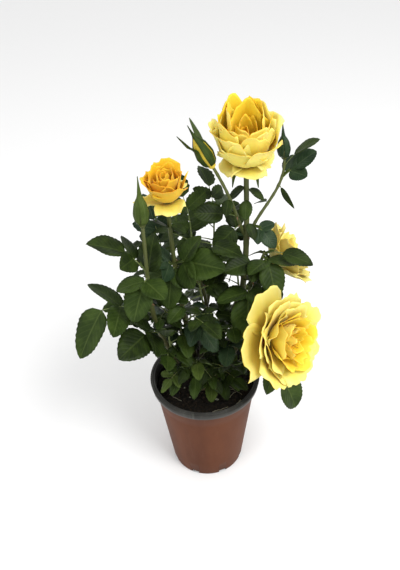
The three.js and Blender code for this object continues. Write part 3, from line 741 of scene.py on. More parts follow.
def make_dry_roots():
    draw = seeded(99)
    whole = new_mesh()
    for foot, head, thick in DRY_ROOTS:
        path = []
        for i in range(15):
            t = i / 14
            x = (foot[0] + (head[0] - foot[0]) * t) * MM + draw(-0.8, 0.8) * MM
            y = (foot[1] + (head[1] - foot[1]) * t) * MM + draw(-0.8, 0.8) * MM
            path.append(Vector((x, y, soil_height(x, y) + (1.0 + 3.5 * t * t) * MM)))
        tube(whole, rounded(path, 2), lambda t, turn: thick * MM * (0.9 - 0.45 * t), 6)
    piece("dry_roots", whole, [DRY_ROOT], "compost", [])


make_crumbs()
make_dry_roots()

# %% [markdown]
# ## Crown and canes
#
# A cane leaves the crown in one direction and arrives at its tip in another. It could be drawn
# through many points, but two ends and two directions already give its cubic curve, and they are easy
# to change. The rows hold the foot and tip in millimetres, the direction that it leaves and arrives in
# as (azimuth, rise), and its radius at foot and tip. A branch starts on its cane instead.

# %% Limbs
CROWN_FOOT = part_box("crown")[0].z
CANE_FOOT = CROWN_FOOT + 5 * MM
BOW = 0.38  # how far a limb holds its first and last direction, as a share of its length
CANES = {
    "cane_left": ((-7, -1), (-55, -38, 391), (180, 52), (90, 88), (3.4, 1.9)),
    "cane_left_bloom": ((-3, 4), (-31, 1, 389), (150, 74), (262, 82), (3.6, 2.2)),
    "cane_centre": ((2, 8), (-10, 24, 322), (60, 72), (160, 74), (3.2, 1.5)),
    "cane_top": ((6, 3), (53, 28, 412), (12, 60), (250, 86), (4.4, 2.8)),
    "cane_right": ((8, -4), (68, -38, 238), (10, 50), (312, 26), (4.0, 2.8)),
    "cane_right_leafy": ((10, 4), (74, 16, 318), (10, 56), (20, 64), (3.2, 1.6)),
    "cane_back_right": ((6, 11), (80, 46, 272), (40, 60), (2, 40), (3.6, 2.6)),
    "cane_back": ((-2, 13), (18, 66, 292), (100, 62), (80, 70), (3.4, 1.6)),
    "cane_back_left": ((-9, 7), (-40, 54, 268), (140, 60), (120, 72), (3.2, 1.6)),
}
# Branches: on which cane, how far along it, tip, directions and radii.
BRANCHES = {
    "branch_half_bud": ("cane_top", 0.72, (18, 8, 429), (190, 70), (178, 62), (1.8, 1.6)),
    "branch_small_bud": ("cane_top", 0.70, (97, 56, 412), (40, 74), (140, 84), (2.0, 1.4)),
}
CURVES = {}
THICK = {}


def limb_curve(foot, tip, leave, arrive):
    pull = (tip - foot).length * BOW
    return [foot, foot + heading(*leave) * pull, tip - heading(*arrive) * pull, tip]


for name, (foot, tip, leave, arrive, thick) in CANES.items():
    start = Vector((foot[0] * MM, foot[1] * MM, CANE_FOOT))
    CURVES[name] = limb_curve(start, Vector(tip) * MM, leave, arrive)
    THICK[name] = [r * MM for r in thick]
for name, (on, at, tip, leave, arrive, thick) in BRANCHES.items():
    CURVES[name] = limb_curve(bezier(CURVES[on], at), Vector(tip) * MM, leave, arrive)
    THICK[name] = [r * MM for r in thick]
print("limbs:", len(CURVES))

# %% [markdown]
# ## Leaves
#
# A rose leaf is compound: a stalk that droops and turns, a leaflet at its end and one or two pairs
# along it. The rule gives the stalk's path and each leaflet's place, and the same rule made the
# frame's solids, so each leaflet's tip lies on a corner of its solid. A leaflet that had no room
# there has no such corner. `kept` looks for it, and so the mesh has the leaflets that the solids have.

# %% The rule of a compound leaf
PAIRS = {1: (), 3: (0.66,), 5: (0.34, 0.7)}  # where the pairs of side leaflets stand on the stalk
LONG_LEAF = 36 * MM
LEAF_ARCH = 0.14
BARE_STEM = 0.9 * MM


def compound_leaf(base, azimuth, rise, reach, size, count, droop, nod, roll, turn):
    """The stalk's points, the end leaflet and the side leaflets, as (at, along, across, face, length)."""
    steps = 3 if size > LONG_LEAF else 2
    spine = [base]
    frames = []
    for i in range(steps):
        f = (i + 0.5) / steps
        frames.append(leaf_frame(azimuth + turn * f, rise - droop * f, roll))
        spine.append(spine[i] + frames[i][0] * (reach / steps))
    end = (spine[-1], *leaf_frame(azimuth + turn, rise - droop - nod, roll), size)
    sides = []
    for k, share in enumerate(PAIRS[count]):
        i = min(steps - 1, int(share * steps))
        along, across, face = frames[i]
        at = spine[i].lerp(spine[i + 1], share * steps - i)
        for side in (-1, 1):
            out = (along * 0.5 + across * 0.87 * side).normalized()
            sides.append((at, out, out.cross(face), face, size * (0.76 + 0.1 * k)))
    return spine, end, sides


def corners(node):
    """A search tree over the corners of a solid of the frame."""
    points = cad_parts[node].data.vertices
    tree = KDTree(len(points))
    for i, vert in enumerate(points):
        tree.insert(vert.co, i)
    tree.balance()
    return tree


def kept(leaflet, tree):
    """Whether the frame's solid has this leaflet too."""
    at, along, _, face, length = leaflet
    tip = at + along * length - face * LEAF_ARCH * length
    return tree.find(tip)[2] < 0.4 * MM


# %% [markdown]
# A leaflet could be a flat card with a leaf painted on it, but its outline would be soft and its
# profile dead. Here it is a sheet: the half width follows t^a (1 - t)^b, which gives the egg shape
# with a round foot and a drawn-out tip, the rim steps out and in for the teeth, the halves rise from
# the midrib, and the blade arches down to its tip and waves a little at the rim. `broad` is the half
# width as a share of the length. `lively` makes it fold, twist and wave more than a calm leaf does,
# and above 1 its teeth are deeper too. The stalk's foot has a pair of narrow wings, the stipule.

# %% Leaflets and stalks
LEAF_THICKNESS = 0.32 * MM
LEAF_FOLD = 0.2


def add_leaflet(whole, leaflet, draw, tone, across_faces, along_faces, broad, lively=1.0):
    at, along, across, face, length = leaflet
    foot, tip = draw(0.46, 0.58), draw(0.60, 0.82)
    crest = foot / (foot + tip)
    scale = broad * draw(0.94, 1.06) / (crest ** foot * (1 - crest) ** tip)
    wave, phase, twist = lively * draw(0.006, 0.026), draw(0, math.tau), lively * draw(-0.16, 0.16)
    fold = LEAF_FOLD * (1 + lively * draw(-0.35, 0.55))
    teeth = 2.4 if lively > 1 else 1

    def place(u, t):
        row = round(t * along_faces)
        half = scale * t ** foot * (1 - t) ** tip if 0 < t < 1 else 0
        reach = t
        if abs(u) > 0.99:
            out = row % 2
            half *= 1 + (0.03 if out else -0.02) * teeth
            reach += 0.25 / along_faces * out * math.sin(math.pi * t)
        w = half * u
        lift = fold * abs(w) ** 1.1 - LEAF_ARCH * reach * reach + twist * w * t
        lift += wave * u * u * math.sin(phase + 9 * t + (2 if u > 0 else 0))
        return at + (along * reach + across * w + face * lift) * length

    sheet(whole, across_faces, along_faces, place, LEAF_THICKNESS, tone, len(LEAF_TONES))


def add_stalk(whole, spine, thick, sides=6):
    path = rounded(spine, 4)
    tube(whole, path, lambda t, turn: thick * (1.25 - 0.55 * min(1, 2.5 * t) - 0.1 * t), sides)


def add_stipule(whole, spine, thick):
    """The pair of narrow wings at a stalk's foot, on the side that faces up."""
    along = (spine[1] - spine[0]).normalized()
    across = along.cross(UP).normalized()
    face = across.cross(along)
    length = min(11 * MM, 0.5 * (spine[-1] - spine[0]).length)

    def place(u, t):
        half = (1.6 + 1.1 * math.sin(math.pi * t)) * MM * (1 - t ** 4 * 0.2)
        tip = t + 0.22 * abs(u) * (t > 0.9)
        return (spine[0] + along * (2.5 * MM + tip * length) + across * half * u
                + face * (thick * 0.7 + 1.4 * MM * u * u))

    sheet(whole, 4, 5, place, 0.3 * MM, TONE["fresh"], len(LEAF_TONES))


# %% [markdown]
# The leaves that stand out are listed one by one; dealt out by chance, they would never hang where
# they should. Each row says on which limb the leaf grows, how far along it, and then its azimuth,
# rise, reach, size, number of leaflets, droop, nod, roll and turn, in degrees and millimetres, its
# tone, and how broad it is.

# %% Single leaves
LONG_STALK = 12  # a stalk longer than this shows its stipule
LEAVES = {
    "leaf_left_low": ("cane_left", 0.56, 204, 46, 68, 60, 3, 36, 58, -14, 14, "mid", 0.29),
    "leaf_left_foot": ("cane_left", 0.40, 238, 50, 34, 46, 3, 30, 14, -30, 0, "dark", 0.40),
    "leaf_left_high": ("cane_left", 0.80, 192, 66, 36, 40, 3, 20, 14, -12, 0, "dark", 0.38),
    "leaf_left_face": ("cane_left", 0.78, 250, -6, 10, 42, 3, 10, 14, 0, 0, "mid", 0.40),
    "leaf_left_up": ("cane_left", 0.76, 60, 76, 10, 42, 1, 4, 0, 0, 0, "dark", 0.36),
    "leaf_left_inner": ("cane_left_bloom", 0.70, 215, 46, 14, 40, 3, 10, 0, -30, 0, "waxy_and_sky_reflection", 0.34),
    "leaf_centre_face": ("cane_left_bloom", 0.71, 324, 34, 22, 46, 3, 14, 10, 44, 0, "mid", 0.40),
    "leaf_centre_down": ("cane_left_bloom", 0.70, 252, -14, 12, 40, 3, 20, 20, 0, 0, "mid", 0.40),
    "leaf_top_side": ("branch_half_bud", 0.34, 192, 22, 16, 33, 1, 6, 4, -46, 0, "dark", 0.34),
    "leaf_top_low": ("branch_half_bud", 0.20, 206, -14, 8, 33, 1, 10, 10, -50, 0, "dark", 0.40),
    "leaf_top_narrow": ("cane_top", 0.66, 222, -20, 8, 32, 1, 10, 4, 50, 0, "dark", 0.26),
    "leaf_top_right": ("branch_small_bud", 0.20, 318, 10, 14, 24, 3, 30, 20, 30, 0, "waxy_and_sky_reflection", 0.40),
    "leaf_right_inner": ("cane_right_leafy", 0.94, 212, 30, 14, 36, 3, 14, 10, -30, 0, "dark", 0.36),
    "leaf_right_hanging": ("cane_right_leafy", 0.78, 246, 20, 24, 50, 3, 40, 30, 0, 20, "mid", 0.38),
    "leaf_right_cover": ("cane_right_leafy", 0.97, 286, 24, 18, 42, 3, 30, 40, 0, 0, "mid", 0.36),
    "leaf_right_top": ("cane_right_leafy", 0.99, 330, 40, 24, 36, 3, 40, 4, 20, 0, "dark", 0.30),
    "leaf_right_tip": ("cane_right_leafy", 0.90, 330, 0, 34, 36, 1, 10, 6, 36, 0, "dark", 0.34),
    "leaf_under_bloom": ("cane_right", 0.76, 332, -26, 68, 48, 3, 36, 0, 20, 0, "mid", 0.34),
    "leaf_small_bud": ("branch_small_bud", 0.80, 8, 40, 18, 29, 3, 0, 0, 20, 0, "waxy_and_sky_reflection", 0.42),
    "leaf_stipule": ("branch_small_bud", 0.72, 316, -30, 4, 28, 1, 20, 0, 70, 0, "dark", 0.12),
}


def make_single_leaves():
    blades, stalks = new_mesh(), new_mesh()
    count = 0
    for number, (name, row) in enumerate(LEAVES.items()):
        on, at, azimuth, rise, reach, size, leaflets, droop, nod, roll, turn, tone, broad = row
        base = bezier(CURVES[on], at)
        draw = seeded(1009 * (number + 1))
        spine, end, sides = compound_leaf(base, azimuth, rise, reach * MM, size * MM, leaflets, droop,
                                          nod, roll, turn)
        tree = corners(name)
        grown = [leaflet for leaflet in (end, *sides) if kept(leaflet, tree)]
        for leaflet in grown:
            add_leaflet(blades, leaflet, draw, TONE[tone], 6, 20, broad)
        count += len(grown)
        if grown:
            add_stalk(stalks, spine, BARE_STEM)
            if reach > LONG_STALK:
                add_stipule(blades, spine, BARE_STEM)
    print("single leaves:", len(LEAVES), "with", count, "leaflets")
    piece("single_leaf_blades", blades, LEAF_FINISHES, "leaf", list(LEAVES))
    piece("single_leaf_stalks", stalks, [STALK], "leaf", list(LEAVES))


make_single_leaves()

# %% [markdown]
# A rose also carries small plain leaves on its flower stalks, just under the bloom, and young narrow
# ones low on its canes, which hang over the compost. The rule of the compound leaf makes them too,
# with a single leaflet. A row gives the limb, the place along it, the azimuth, rise, reach, size and
# droop, and the tone.

# %% Small plain leaves
LOW_BROAD = 0.28
BRACTS = (
    ("cane_top", 0.95, 200, 20, 3, 21, 40, "dark"),
    ("cane_top", 0.94, 335, 25, 3, 20, 40, "dark"),
    ("cane_top", 0.90, 262, 10, 3, 22, 40, "mid"),
    ("cane_top", 0.86, 160, 30, 3, 22, 40, "dark"),
    ("cane_top", 0.80, 300, 10, 3, 20, 40, "dark"),
    ("branch_half_bud", 0.62, 250, 10, 3, 18, 40, "dark"),
    ("branch_small_bud", 0.93, 352, 58, 18, 31, 6, "mid"),
    ("branch_small_bud", 0.50, 140, 20, 3, 18, 30, "dark"),
    ("cane_left_bloom", 0.90, 215, 66, 3, 24, 10, "dark"),
    ("cane_left_bloom", 0.92, 330, 30, 3, 18, 30, "dark"),
)
LOW_LEAVES = (
    ("cane_left", 0.08, 241, 50, 24, 26, 60, "mid"),
    ("cane_right", 0.05, 262, 60, 24, 27, 60, "fresh"),
    ("cane_right", 0.10, 283, 50, 24, 25, 60, "dark"),
    ("cane_right", 0.14, 306, 50, 18, 25, 60, "mid"),
)


def make_bracts():
    blades, stalks = new_mesh(), new_mesh()
    draw = seeded(4093)
    for rows, broad, lively in ((BRACTS, 0.34, 1.0), (LOW_LEAVES, LOW_BROAD, 2.4)):
        for on, at, azimuth, rise, reach, size, droop, tone in rows:
            spine, end, _ = compound_leaf(bezier(CURVES[on], at), azimuth, rise, reach * MM, size * MM, 1,
                                          droop, 10, 0, 0)
            add_leaflet(blades, end, draw, TONE[tone], 4, 14, broad, lively)
            add_stalk(stalks, spine, 0.6 * BARE_STEM)
    print("small leaves:", len(BRACTS), "on the flower stalks and", len(LOW_LEAVES), "low on the canes")
    piece("bract_blades", blades, LEAF_FINISHES, "leaf", [])
    piece("bract_stalks", stalks, [STALK], "leaf", [])


make_bracts()

# %% [markdown]
# The rest of the foliage grows on side shoots: a stem that bends upwards, with leaves dealt round it
# on the golden turn and one leaf on top. A particle system could scatter leaves, but it wouldn't know
# the frame's own rule. Here the draws come in the same order as in that rule, so the leaves fall in
# the same places. A row gives the limb, the place along it, the stem's azimuth, rise and length, the
# number of leaves, their size and the seed.

# %% The rule of a shoot
GOLDEN_TURN = 137.5
TWIG = 1.5 * MM
SHOOTS = {
    "shoot_front_left": ("cane_left", 0.08, 238, 40, 36, 6, 20, 3),
    "shoot_front": ("cane_left_bloom", 0.07, 266, 40, 40, 6, 26, 5),
    "shoot_front_right": ("cane_right", 0.12, 296, 40, 36, 6, 26, 7),
    "shoot_left_low": ("cane_left", 0.20, 250, 60, 50, 6, 28, 9),
    "shoot_left_back": ("cane_left_bloom", 0.30, 190, 40, 46, 5, 30, 13),
    "shoot_centre_low": ("cane_left_bloom", 0.36, 286, 30, 44, 6, 28, 15),
    "shoot_centre_mid": ("cane_centre", 0.50, 235, 64, 60, 5, 30, 17),
    "shoot_centre_top": ("cane_centre", 0.96, 95, 80, 30, 4, 36, 19),
    "shoot_centre_side": ("cane_centre", 0.72, 180, 50, 44, 4, 34, 21),
    "shoot_right_low": ("cane_right_leafy", 0.30, 262, 50, 50, 6, 28, 23),
    "shoot_right_mid": ("cane_top", 0.36, 300, 58, 56, 5, 30, 25),
    "shoot_right_side": ("cane_back_right", 0.30, 350, 40, 60, 4, 32, 27),
    "shoot_right_back": ("cane_back_right", 0.70, 100, 60, 56, 4, 34, 29),
    "shoot_back_right": ("cane_back", 0.40, 80, 30, 62, 4, 36, 31),
    "shoot_back_low": ("cane_back_left", 0.20, 90, 20, 60, 3, 34, 33),
    "shoot_back_top": ("cane_back", 1.00, 80, 74, 40, 4, 38, 35),
    "shoot_back_left": ("cane_back_left", 0.50, 196, 36, 50, 4, 34, 39),
    "shoot_back_left_top": ("cane_back_left", 1.00, 130, 66, 30, 4, 36, 41),
}


def shoot_leaves(stem, azimuth, tip_rise, leaves, size, draw):
    """The leaves of one shoot, each as compound_leaf gives it."""
    for i in range(leaves):
        t = 0.3 + 0.7 * i / (leaves - 1)
        last = i == leaves - 1
        turned = azimuth + draw(-20, 20) if last else azimuth + 90 + i * GOLDEN_TURN + draw(-18, 18)
        rise = tip_rise - draw(0, 20) if last else draw(10, 46)
        reach, length = size * draw(0.85, 1.15), size * draw(0.85, 1.1)
        count = 5 if draw(0, 1) < 0.4 else 3
        droop, roll, turn = draw(20, 56), draw(-24, 24), draw(-20, 20)
        yield compound_leaf(bezier(stem, t), turned, rise, reach, length, count, droop, 0, roll, turn)


print("shoots:", len(SHOOTS), "with", sum(row[5] for row in SHOOTS.values()), "leaves in the rule")

# %% [markdown]
# A living shoot is denser than its solid. The solid's own leaves could be made larger, but a thicket
# is many small leaves and not a few big ones, so smaller ones are dealt out at random within the box
# that the shoot's solid fills: most of them low down, and few near the top, where the sky shows
# through. Each one is kept only where it clears the limbs, the flowers, the compost and the pot.

# %% Finer leaves
LIMB_POINTS = 60
LOW_TRIES = 10
HIGH_TRIES = 1
THINNING = 2.4  # how fast the tries fall off with the height at which a shoot starts
RIM_ROOM = 3 * MM
SOIL_ROOM = 4 * MM
LIMB_ROOM = 5 * MM
BOX_SLACK = 3 * MM
PETAL_DEPTH = 4 * MM  # how far a leaf may reach in under a flower's outer petals


def within(point, box, slack):
    low, high = box
    return all(low[i] - slack <= point[i] <= high[i] + slack for i in range(3))


def limb_tree():
    """A search tree over points along all the limbs."""
    tree = KDTree(len(CURVES) * LIMB_POINTS)
    for i, curve in enumerate(CURVES.values()):
        for k in range(LIMB_POINTS):
            tree.insert(bezier(curve, k / (LIMB_POINTS - 1)), LIMB_POINTS * i + k)
    tree.balance()
    return tree


LIMBS = limb_tree()
FLOWERS = [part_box(name) for name in ("bloom_top", "bloom_left", "bloom_right", "bloom_back")]


def has_room(leaflet, box):
    """Whether a leaflet stays in the shoot's reach, off the compost and pot, and clear of the rest."""
    at, along, _, face, length = leaflet
    for share in (0.55, 1.0):
        point = at + along * (length * share) - face * (LEAF_ARCH * share * share * length)
        in_pot = point.z < POT_TOP + RIM_ROOM
        if in_pot and math.hypot(point.x, point.y) > RIM_RADIUS - LIP_WIDTH - RIM_ROOM:
            return False
        if point.z < SOIL_TOP + SOIL_ROOM or not within(point, box, BOX_SLACK):
            return False
        if LIMBS.find(point)[2] < LIMB_ROOM:
            return False
        if any(within(point, flower, -PETAL_DEPTH) for flower in FLOWERS):
            return False
    return True


def finer_leaves(name, stem, size, draw):
    """More leaves, a size smaller, dealt at random along a shoot's stem within its reach."""
    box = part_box(name)
    height = (stem[0].z - SOIL_TOP) / (CURVES["cane_left"][-1].z - SOIL_TOP)
    for _ in range(round(LOW_TRIES + (HIGH_TRIES - LOW_TRIES) * min(1, THINNING * height))):
        t, azimuth, rise = draw(0.15, 1), draw(0, 360), draw(-5, 55)
        reach, length = size * draw(0.5, 1.1), size * draw(0.66, 0.92)
        droop, roll, turn = draw(10, 50), draw(-30, 30), draw(-25, 25)
        spine, end, sides = compound_leaf(bezier(stem, t), azimuth, rise, reach, length, 3, droop, 0,
                                          roll, turn)
        grown = [leaflet for leaflet in (end, *sides) if has_room(leaflet, box)]
        if len(grown) > 1:
            yield spine, grown


print("points along the limbs:", len(CURVES) * LIMB_POINTS)

# %% [markdown]
# The shoots are then grown. Their leaves differ in tone, since a plant has leaves of every age: most
# are dark, and low in front a few are fresh. Some have the waxy tone, whose bluish tint is partly a
# real waxy bloom and partly a painted reflection of the sky. Each tone could be a piece of its own, but
# the tones are slots of one piece, which keeps the number of pieces small. The young leaves low in
# front are narrower and more crumpled than the others.

# %% Shoots
SHOOT_BROAD = 0.33


def make_shoots():
    blades, stems, fine_blades = new_mesh(), new_mesh(), new_mesh()
    count = 0
    finer = 0
    for name, (on, at, azimuth, rise, length, leaves, size, seed) in SHOOTS.items():
        low = name.startswith("shoot_front")
        broad, lively = (LOW_BROAD, 2.8) if low else (SHOOT_BROAD, 1.9)
        base = bezier(CURVES[on], at)
        tip_rise = min(86, rise + 26)
        knee = base + heading(azimuth, rise) * (length * 0.5 * MM)
        stem = [base, knee, knee + heading(azimuth, tip_rise) * (length * 0.5 * MM)]
        path = [bezier(stem, i / 12) for i in range(13)]
        tube(stems, path, lambda t, turn: TWIG + (BARE_STEM - TWIG) * t, 8)
        tree = corners(name)
        look = seeded(seed * 6007)
        for spine, end, sides in shoot_leaves(stem, azimuth, tip_rise, leaves, size * MM,
                                              seeded(seed * 7919)):
            grown = [leaflet for leaflet in (end, *sides) if kept(leaflet, tree)]
            if not grown:
                continue
            pick = look(0, 1)
            tone = TONE["dark" if pick < 0.55 else "mid" if pick < 0.84 else "waxy_and_sky_reflection"]
            if low and pick > 0.9:
                tone = TONE["fresh"]
            for leaflet in grown:
                add_leaflet(blades, leaflet, look, tone, 4, 12, broad, lively)
            count += len(grown)
            add_stalk(stems, spine, BARE_STEM * 0.85, 5)
        for spine, grown in finer_leaves(name, stem, size * MM, look):
            tone = TONE["dark" if look(0, 1) < 0.7 else "mid"]
            for leaflet in grown:
                add_leaflet(fine_blades, leaflet, look, tone, 4, 10, broad, 2.2)
            finer += len(grown)
            add_stalk(stems, spine, BARE_STEM * 0.7, 5)
    print("shoots:", len(SHOOTS), "with", count, "leaflets and", finer, "finer ones")
    piece("finer_blades", fine_blades, LEAF_FINISHES, "leaf", [])
    piece("shoot_blades", blades, LEAF_FINISHES, "leaf", list(SHOOTS))
    piece("shoot_stems", stems, [STALK], "leaf", list(SHOOTS))


make_shoots()

# %% [markdown]
# The limbs themselves come after the leaves are known, because a cane swells where a leaf or a shoot
# leaves it, and also at old joints that carry nothing now. The furrows of the bark fade with the
# height. Bump could draw both, but the outline of a cane shows them, so they are in the tube's radius.

# %% Canes
LIMB_SIDES = 16
JOINTS = {name: [] for name in CURVES}
for on, at, *_ in (*LEAVES.values(), *SHOOTS.values(), *BRANCHES.values()):
    JOINTS[on].append(at)


def add_limb(whole, name):
    curve = CURVES[name]
    foot, tip = THICK[name]
    length = (curve[-1] - curve[0]).length
    steps = round(length / (2.6 * MM))
    joints = JOINTS[name] + [0.13 + 0.115 * k for k in range(8)]

    def radius(t, turn):
        at = bezier(curve, t)
        furrow = noise.noise(Vector((2.2 * math.cos(turn), 2.2 * math.sin(turn), 60 * at.z)))
        swell = sum(math.exp(-((t - joint) * length / (1.6 * MM)) ** 2) for joint in joints)
        woody = max(0.15, 1 - t * 1.6)
        return (foot + (tip - foot) * t) * (1 + 0.10 * woody * furrow) + 0.28 * MM * min(1.2, swell)

    tube(whole, [bezier(curve, i / steps) for i in range(steps + 1)], radius, LIMB_SIDES)


for name in CURVES:
    finish, slot = (CANE, "cane_bark") if name in CANES else (BRANCH, "branch_green")
    limb = new_mesh()
    add_limb(limb, name)
    piece(name + "_bark", limb, [finish], slot, [name])

# %% [markdown]
# The crown is the old stock that all canes grow from, a gnarled stump with a flat cut on the compost.
# It could be sculpted, but a turned outline that noise pushes in and out is enough for wood that is
# mostly in the shade. Prickles are short tapering tubes, hooked down towards the foot of the cane.

# %% Crown and prickles
def make_crown():
    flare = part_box("crown")[1].x
    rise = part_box("crown")[1].z - CROWN_FOOT
    outline = ((1, 0), (0.97, 0.05), (0.86, 0.19), (0.76, 0.32), (0.71, 0.46), (0.69, 0.6), (0.65, 0.76),
               (0.5, 0.9), (0.36, 0.97), (0.18, 1), (0, 1))
    profile = [(0, CROWN_FOOT), *[(flare * r, CROWN_FOOT + rise * z) for r, z in outline]]

    def place(co):
        if co.z <= CROWN_FOOT + 0.01 * MM:
            return co
        turn = math.atan2(co.y, co.x)
        gnarl = noise.noise(Vector((2 * math.cos(turn), 2 * math.sin(turn), co.z * 160)))
        burl = noise.noise(co * 520)
        swell = 1 + 0.13 * gnarl + 0.05 * burl
        return Vector((co.x * swell, co.y * swell, co.z))

    whole = new_mesh()
    lathe(whole, profile, 72, place=place)
    piece("crown_bark", whole, [CROWN], "crown_bark", ["crown"])


def make_prickles():
    """Small hooked prickles that point down the canes."""
    draw = seeded(31)
    whole = new_mesh()
    count = 0
    for name, curve in CURVES.items():
        foot, tip = THICK[name]
        for k in range(5 if name in CANES else 2):
            t = 0.12 + 0.8 * (k + draw(0.1, 0.9)) / 5
            along = bezier_tangent(curve, t)
            out = Quaternion(along, draw(0, math.tau)) @ along.orthogonal().normalized()
            base = bezier(curve, t) + out * (foot + (tip - foot) * t) * 0.8
            size = draw(2.6, 4.2) * MM
            path = [base, base + (out * 0.5 - along * 0.08) * size, base + (out * 0.95 - along * 0.4) * size]
            tube(whole, rounded(path, 3), lambda t, turn: 0.24 * size * (1 - 0.92 * t) ** 0.8, 6)
            count += 1
    print("prickles:", count)
    piece("prickles", whole, [PRICKLE], "branch_green", [])


make_crown()
make_prickles()

# %% [markdown]
# ## Blooms
#
# A double rose is layers of petals on a small seat, each layer turned so that its petals fill the gaps
# of the one before. A petal starts out at its `lean` from the flower's axis, bends to its `spread`, and
# near the rim rolls back by its `curl`. Across, it is curved round the axis like a bowl, and its sides
# roll outwards near the rim, which is what gives an open rose its pointed outline. A flat grid could be
# bent by modifiers, but they would stretch it. Here the bend is summed up along the petal in small
# steps, so its length stays true however much it bends. Noise then frays and ruffles the rim.

# %% A petal
PETAL_THICKNESS = 0.45 * MM
PETAL_GRID = (14, 18)
PETAL_STEPS = 24
BOWL_STEPS = 6


def petal_profile(seat, height, length, lean, spread, curl):
    """Points (radius, height, angle) at even steps along the middle of a petal."""
    radius, rise = seat, height
    points = []
    for i in range(PETAL_STEPS + 1):
        s = i / PETAL_STEPS
        ease = min(1, s / 0.75)
        ease = ease * ease * (3 - 2 * ease)
        angle = math.radians(lean + (spread - lean) * ease + curl * max(0, (s - 0.58) / 0.42) ** 2)
        points.append((radius, rise, angle))
        radius += math.sin(angle) * length / PETAL_STEPS
        rise += math.cos(angle) * length / PETAL_STEPS
    return points


def add_petal(whole, seated, azimuth, seat, height, length, width, lean, spread, curl, cup, roll, point,
              draw, tone):
    profile = petal_profile(seat, height, length, lean, spread, curl)
    a = math.radians(azimuth)
    out = Vector((math.cos(a), math.sin(a), 0))
    side = out.cross(UP)
    rounding, pointed = draw(0.13, 0.24), point * draw(0.4, 1.3)
    seed, skew, ripple = draw(0, 90), draw(-0.10, 0.10), draw(1.3, 3.0) * MM

    def place(u, t):
        ragged = 0.15 * noise.noise(Vector((3.2 * u, seed, 0))) * t
        s = t * (1 - rounding * abs(u) ** 2.2 - pointed * min(1, 2 * abs(u)) + skew * u * t + ragged)
        step = max(0, min(PETAL_STEPS - 0.01, PETAL_STEPS * s))
        i = int(step)
        (r0, z0, a0), (r1, z1, a1) = profile[i], profile[i + 1]
        f = step - i
        radius, rise, angle = r0 + (r1 - r0) * f, z0 + (z1 - z0) * f, a0 + (a1 - a0) * f
        inward = UP * math.sin(angle) - out * math.cos(angle)
        half = 0.5 * width * (0.2 + 0.8 * math.sin(math.pi / 2 * min(1, t / 0.7)))
        bend = max(4 * MM, cup * (radius + 2 * MM))
        near_rim = max(0, (t - 0.35) / 0.65) ** 1.5
        over, up = 0, 0
        for k in range(BOWL_STEPS):
            w = abs(u) * (k + 0.5) / BOWL_STEPS
            tilt = min(1.9, w * half / bend)
            tilt -= math.radians(roll) * near_rim * max(0, (w - 0.42) / 0.58) ** 1.6
            over += math.cos(tilt) * half * abs(u) / BOWL_STEPS
            up += math.sin(tilt) * half * abs(u) / BOWL_STEPS
        wave = ripple * t * noise.noise(Vector((2.1 * u, 2.6 * t, seed)))
        wave += ripple * near_rim * u * u * math.sin(5 * u + 7 * t + seed)
        at = out * radius + UP * rise + side * math.copysign(over, u) + inward * (up + wave)
        return seated @ at

    sheet(whole, *PETAL_GRID, place, PETAL_THICKNESS, tone, len(PETAL_TONES))


# %% [markdown]
# One bloom could be made well and copied, but no two on a plant are alike, so each has rows of its
# own. They go from the outermost layer in, and each one holds the number of petals, the azimuth of
# the first, and then the length, width, lean, spread, curl, cup, side roll and pointedness of its
# petals and their tone. The flowers face the way that their cane arrives. A bloom seldom opens evenly:
# on its open side the petals are shorter and flatter and fall further out. Before its rows, a bloom
# has its limb, the radius of the flower and of its neck in millimetres, the azimuth of its open side,
# and how uneven it is. Below zero, that side is the closed one.

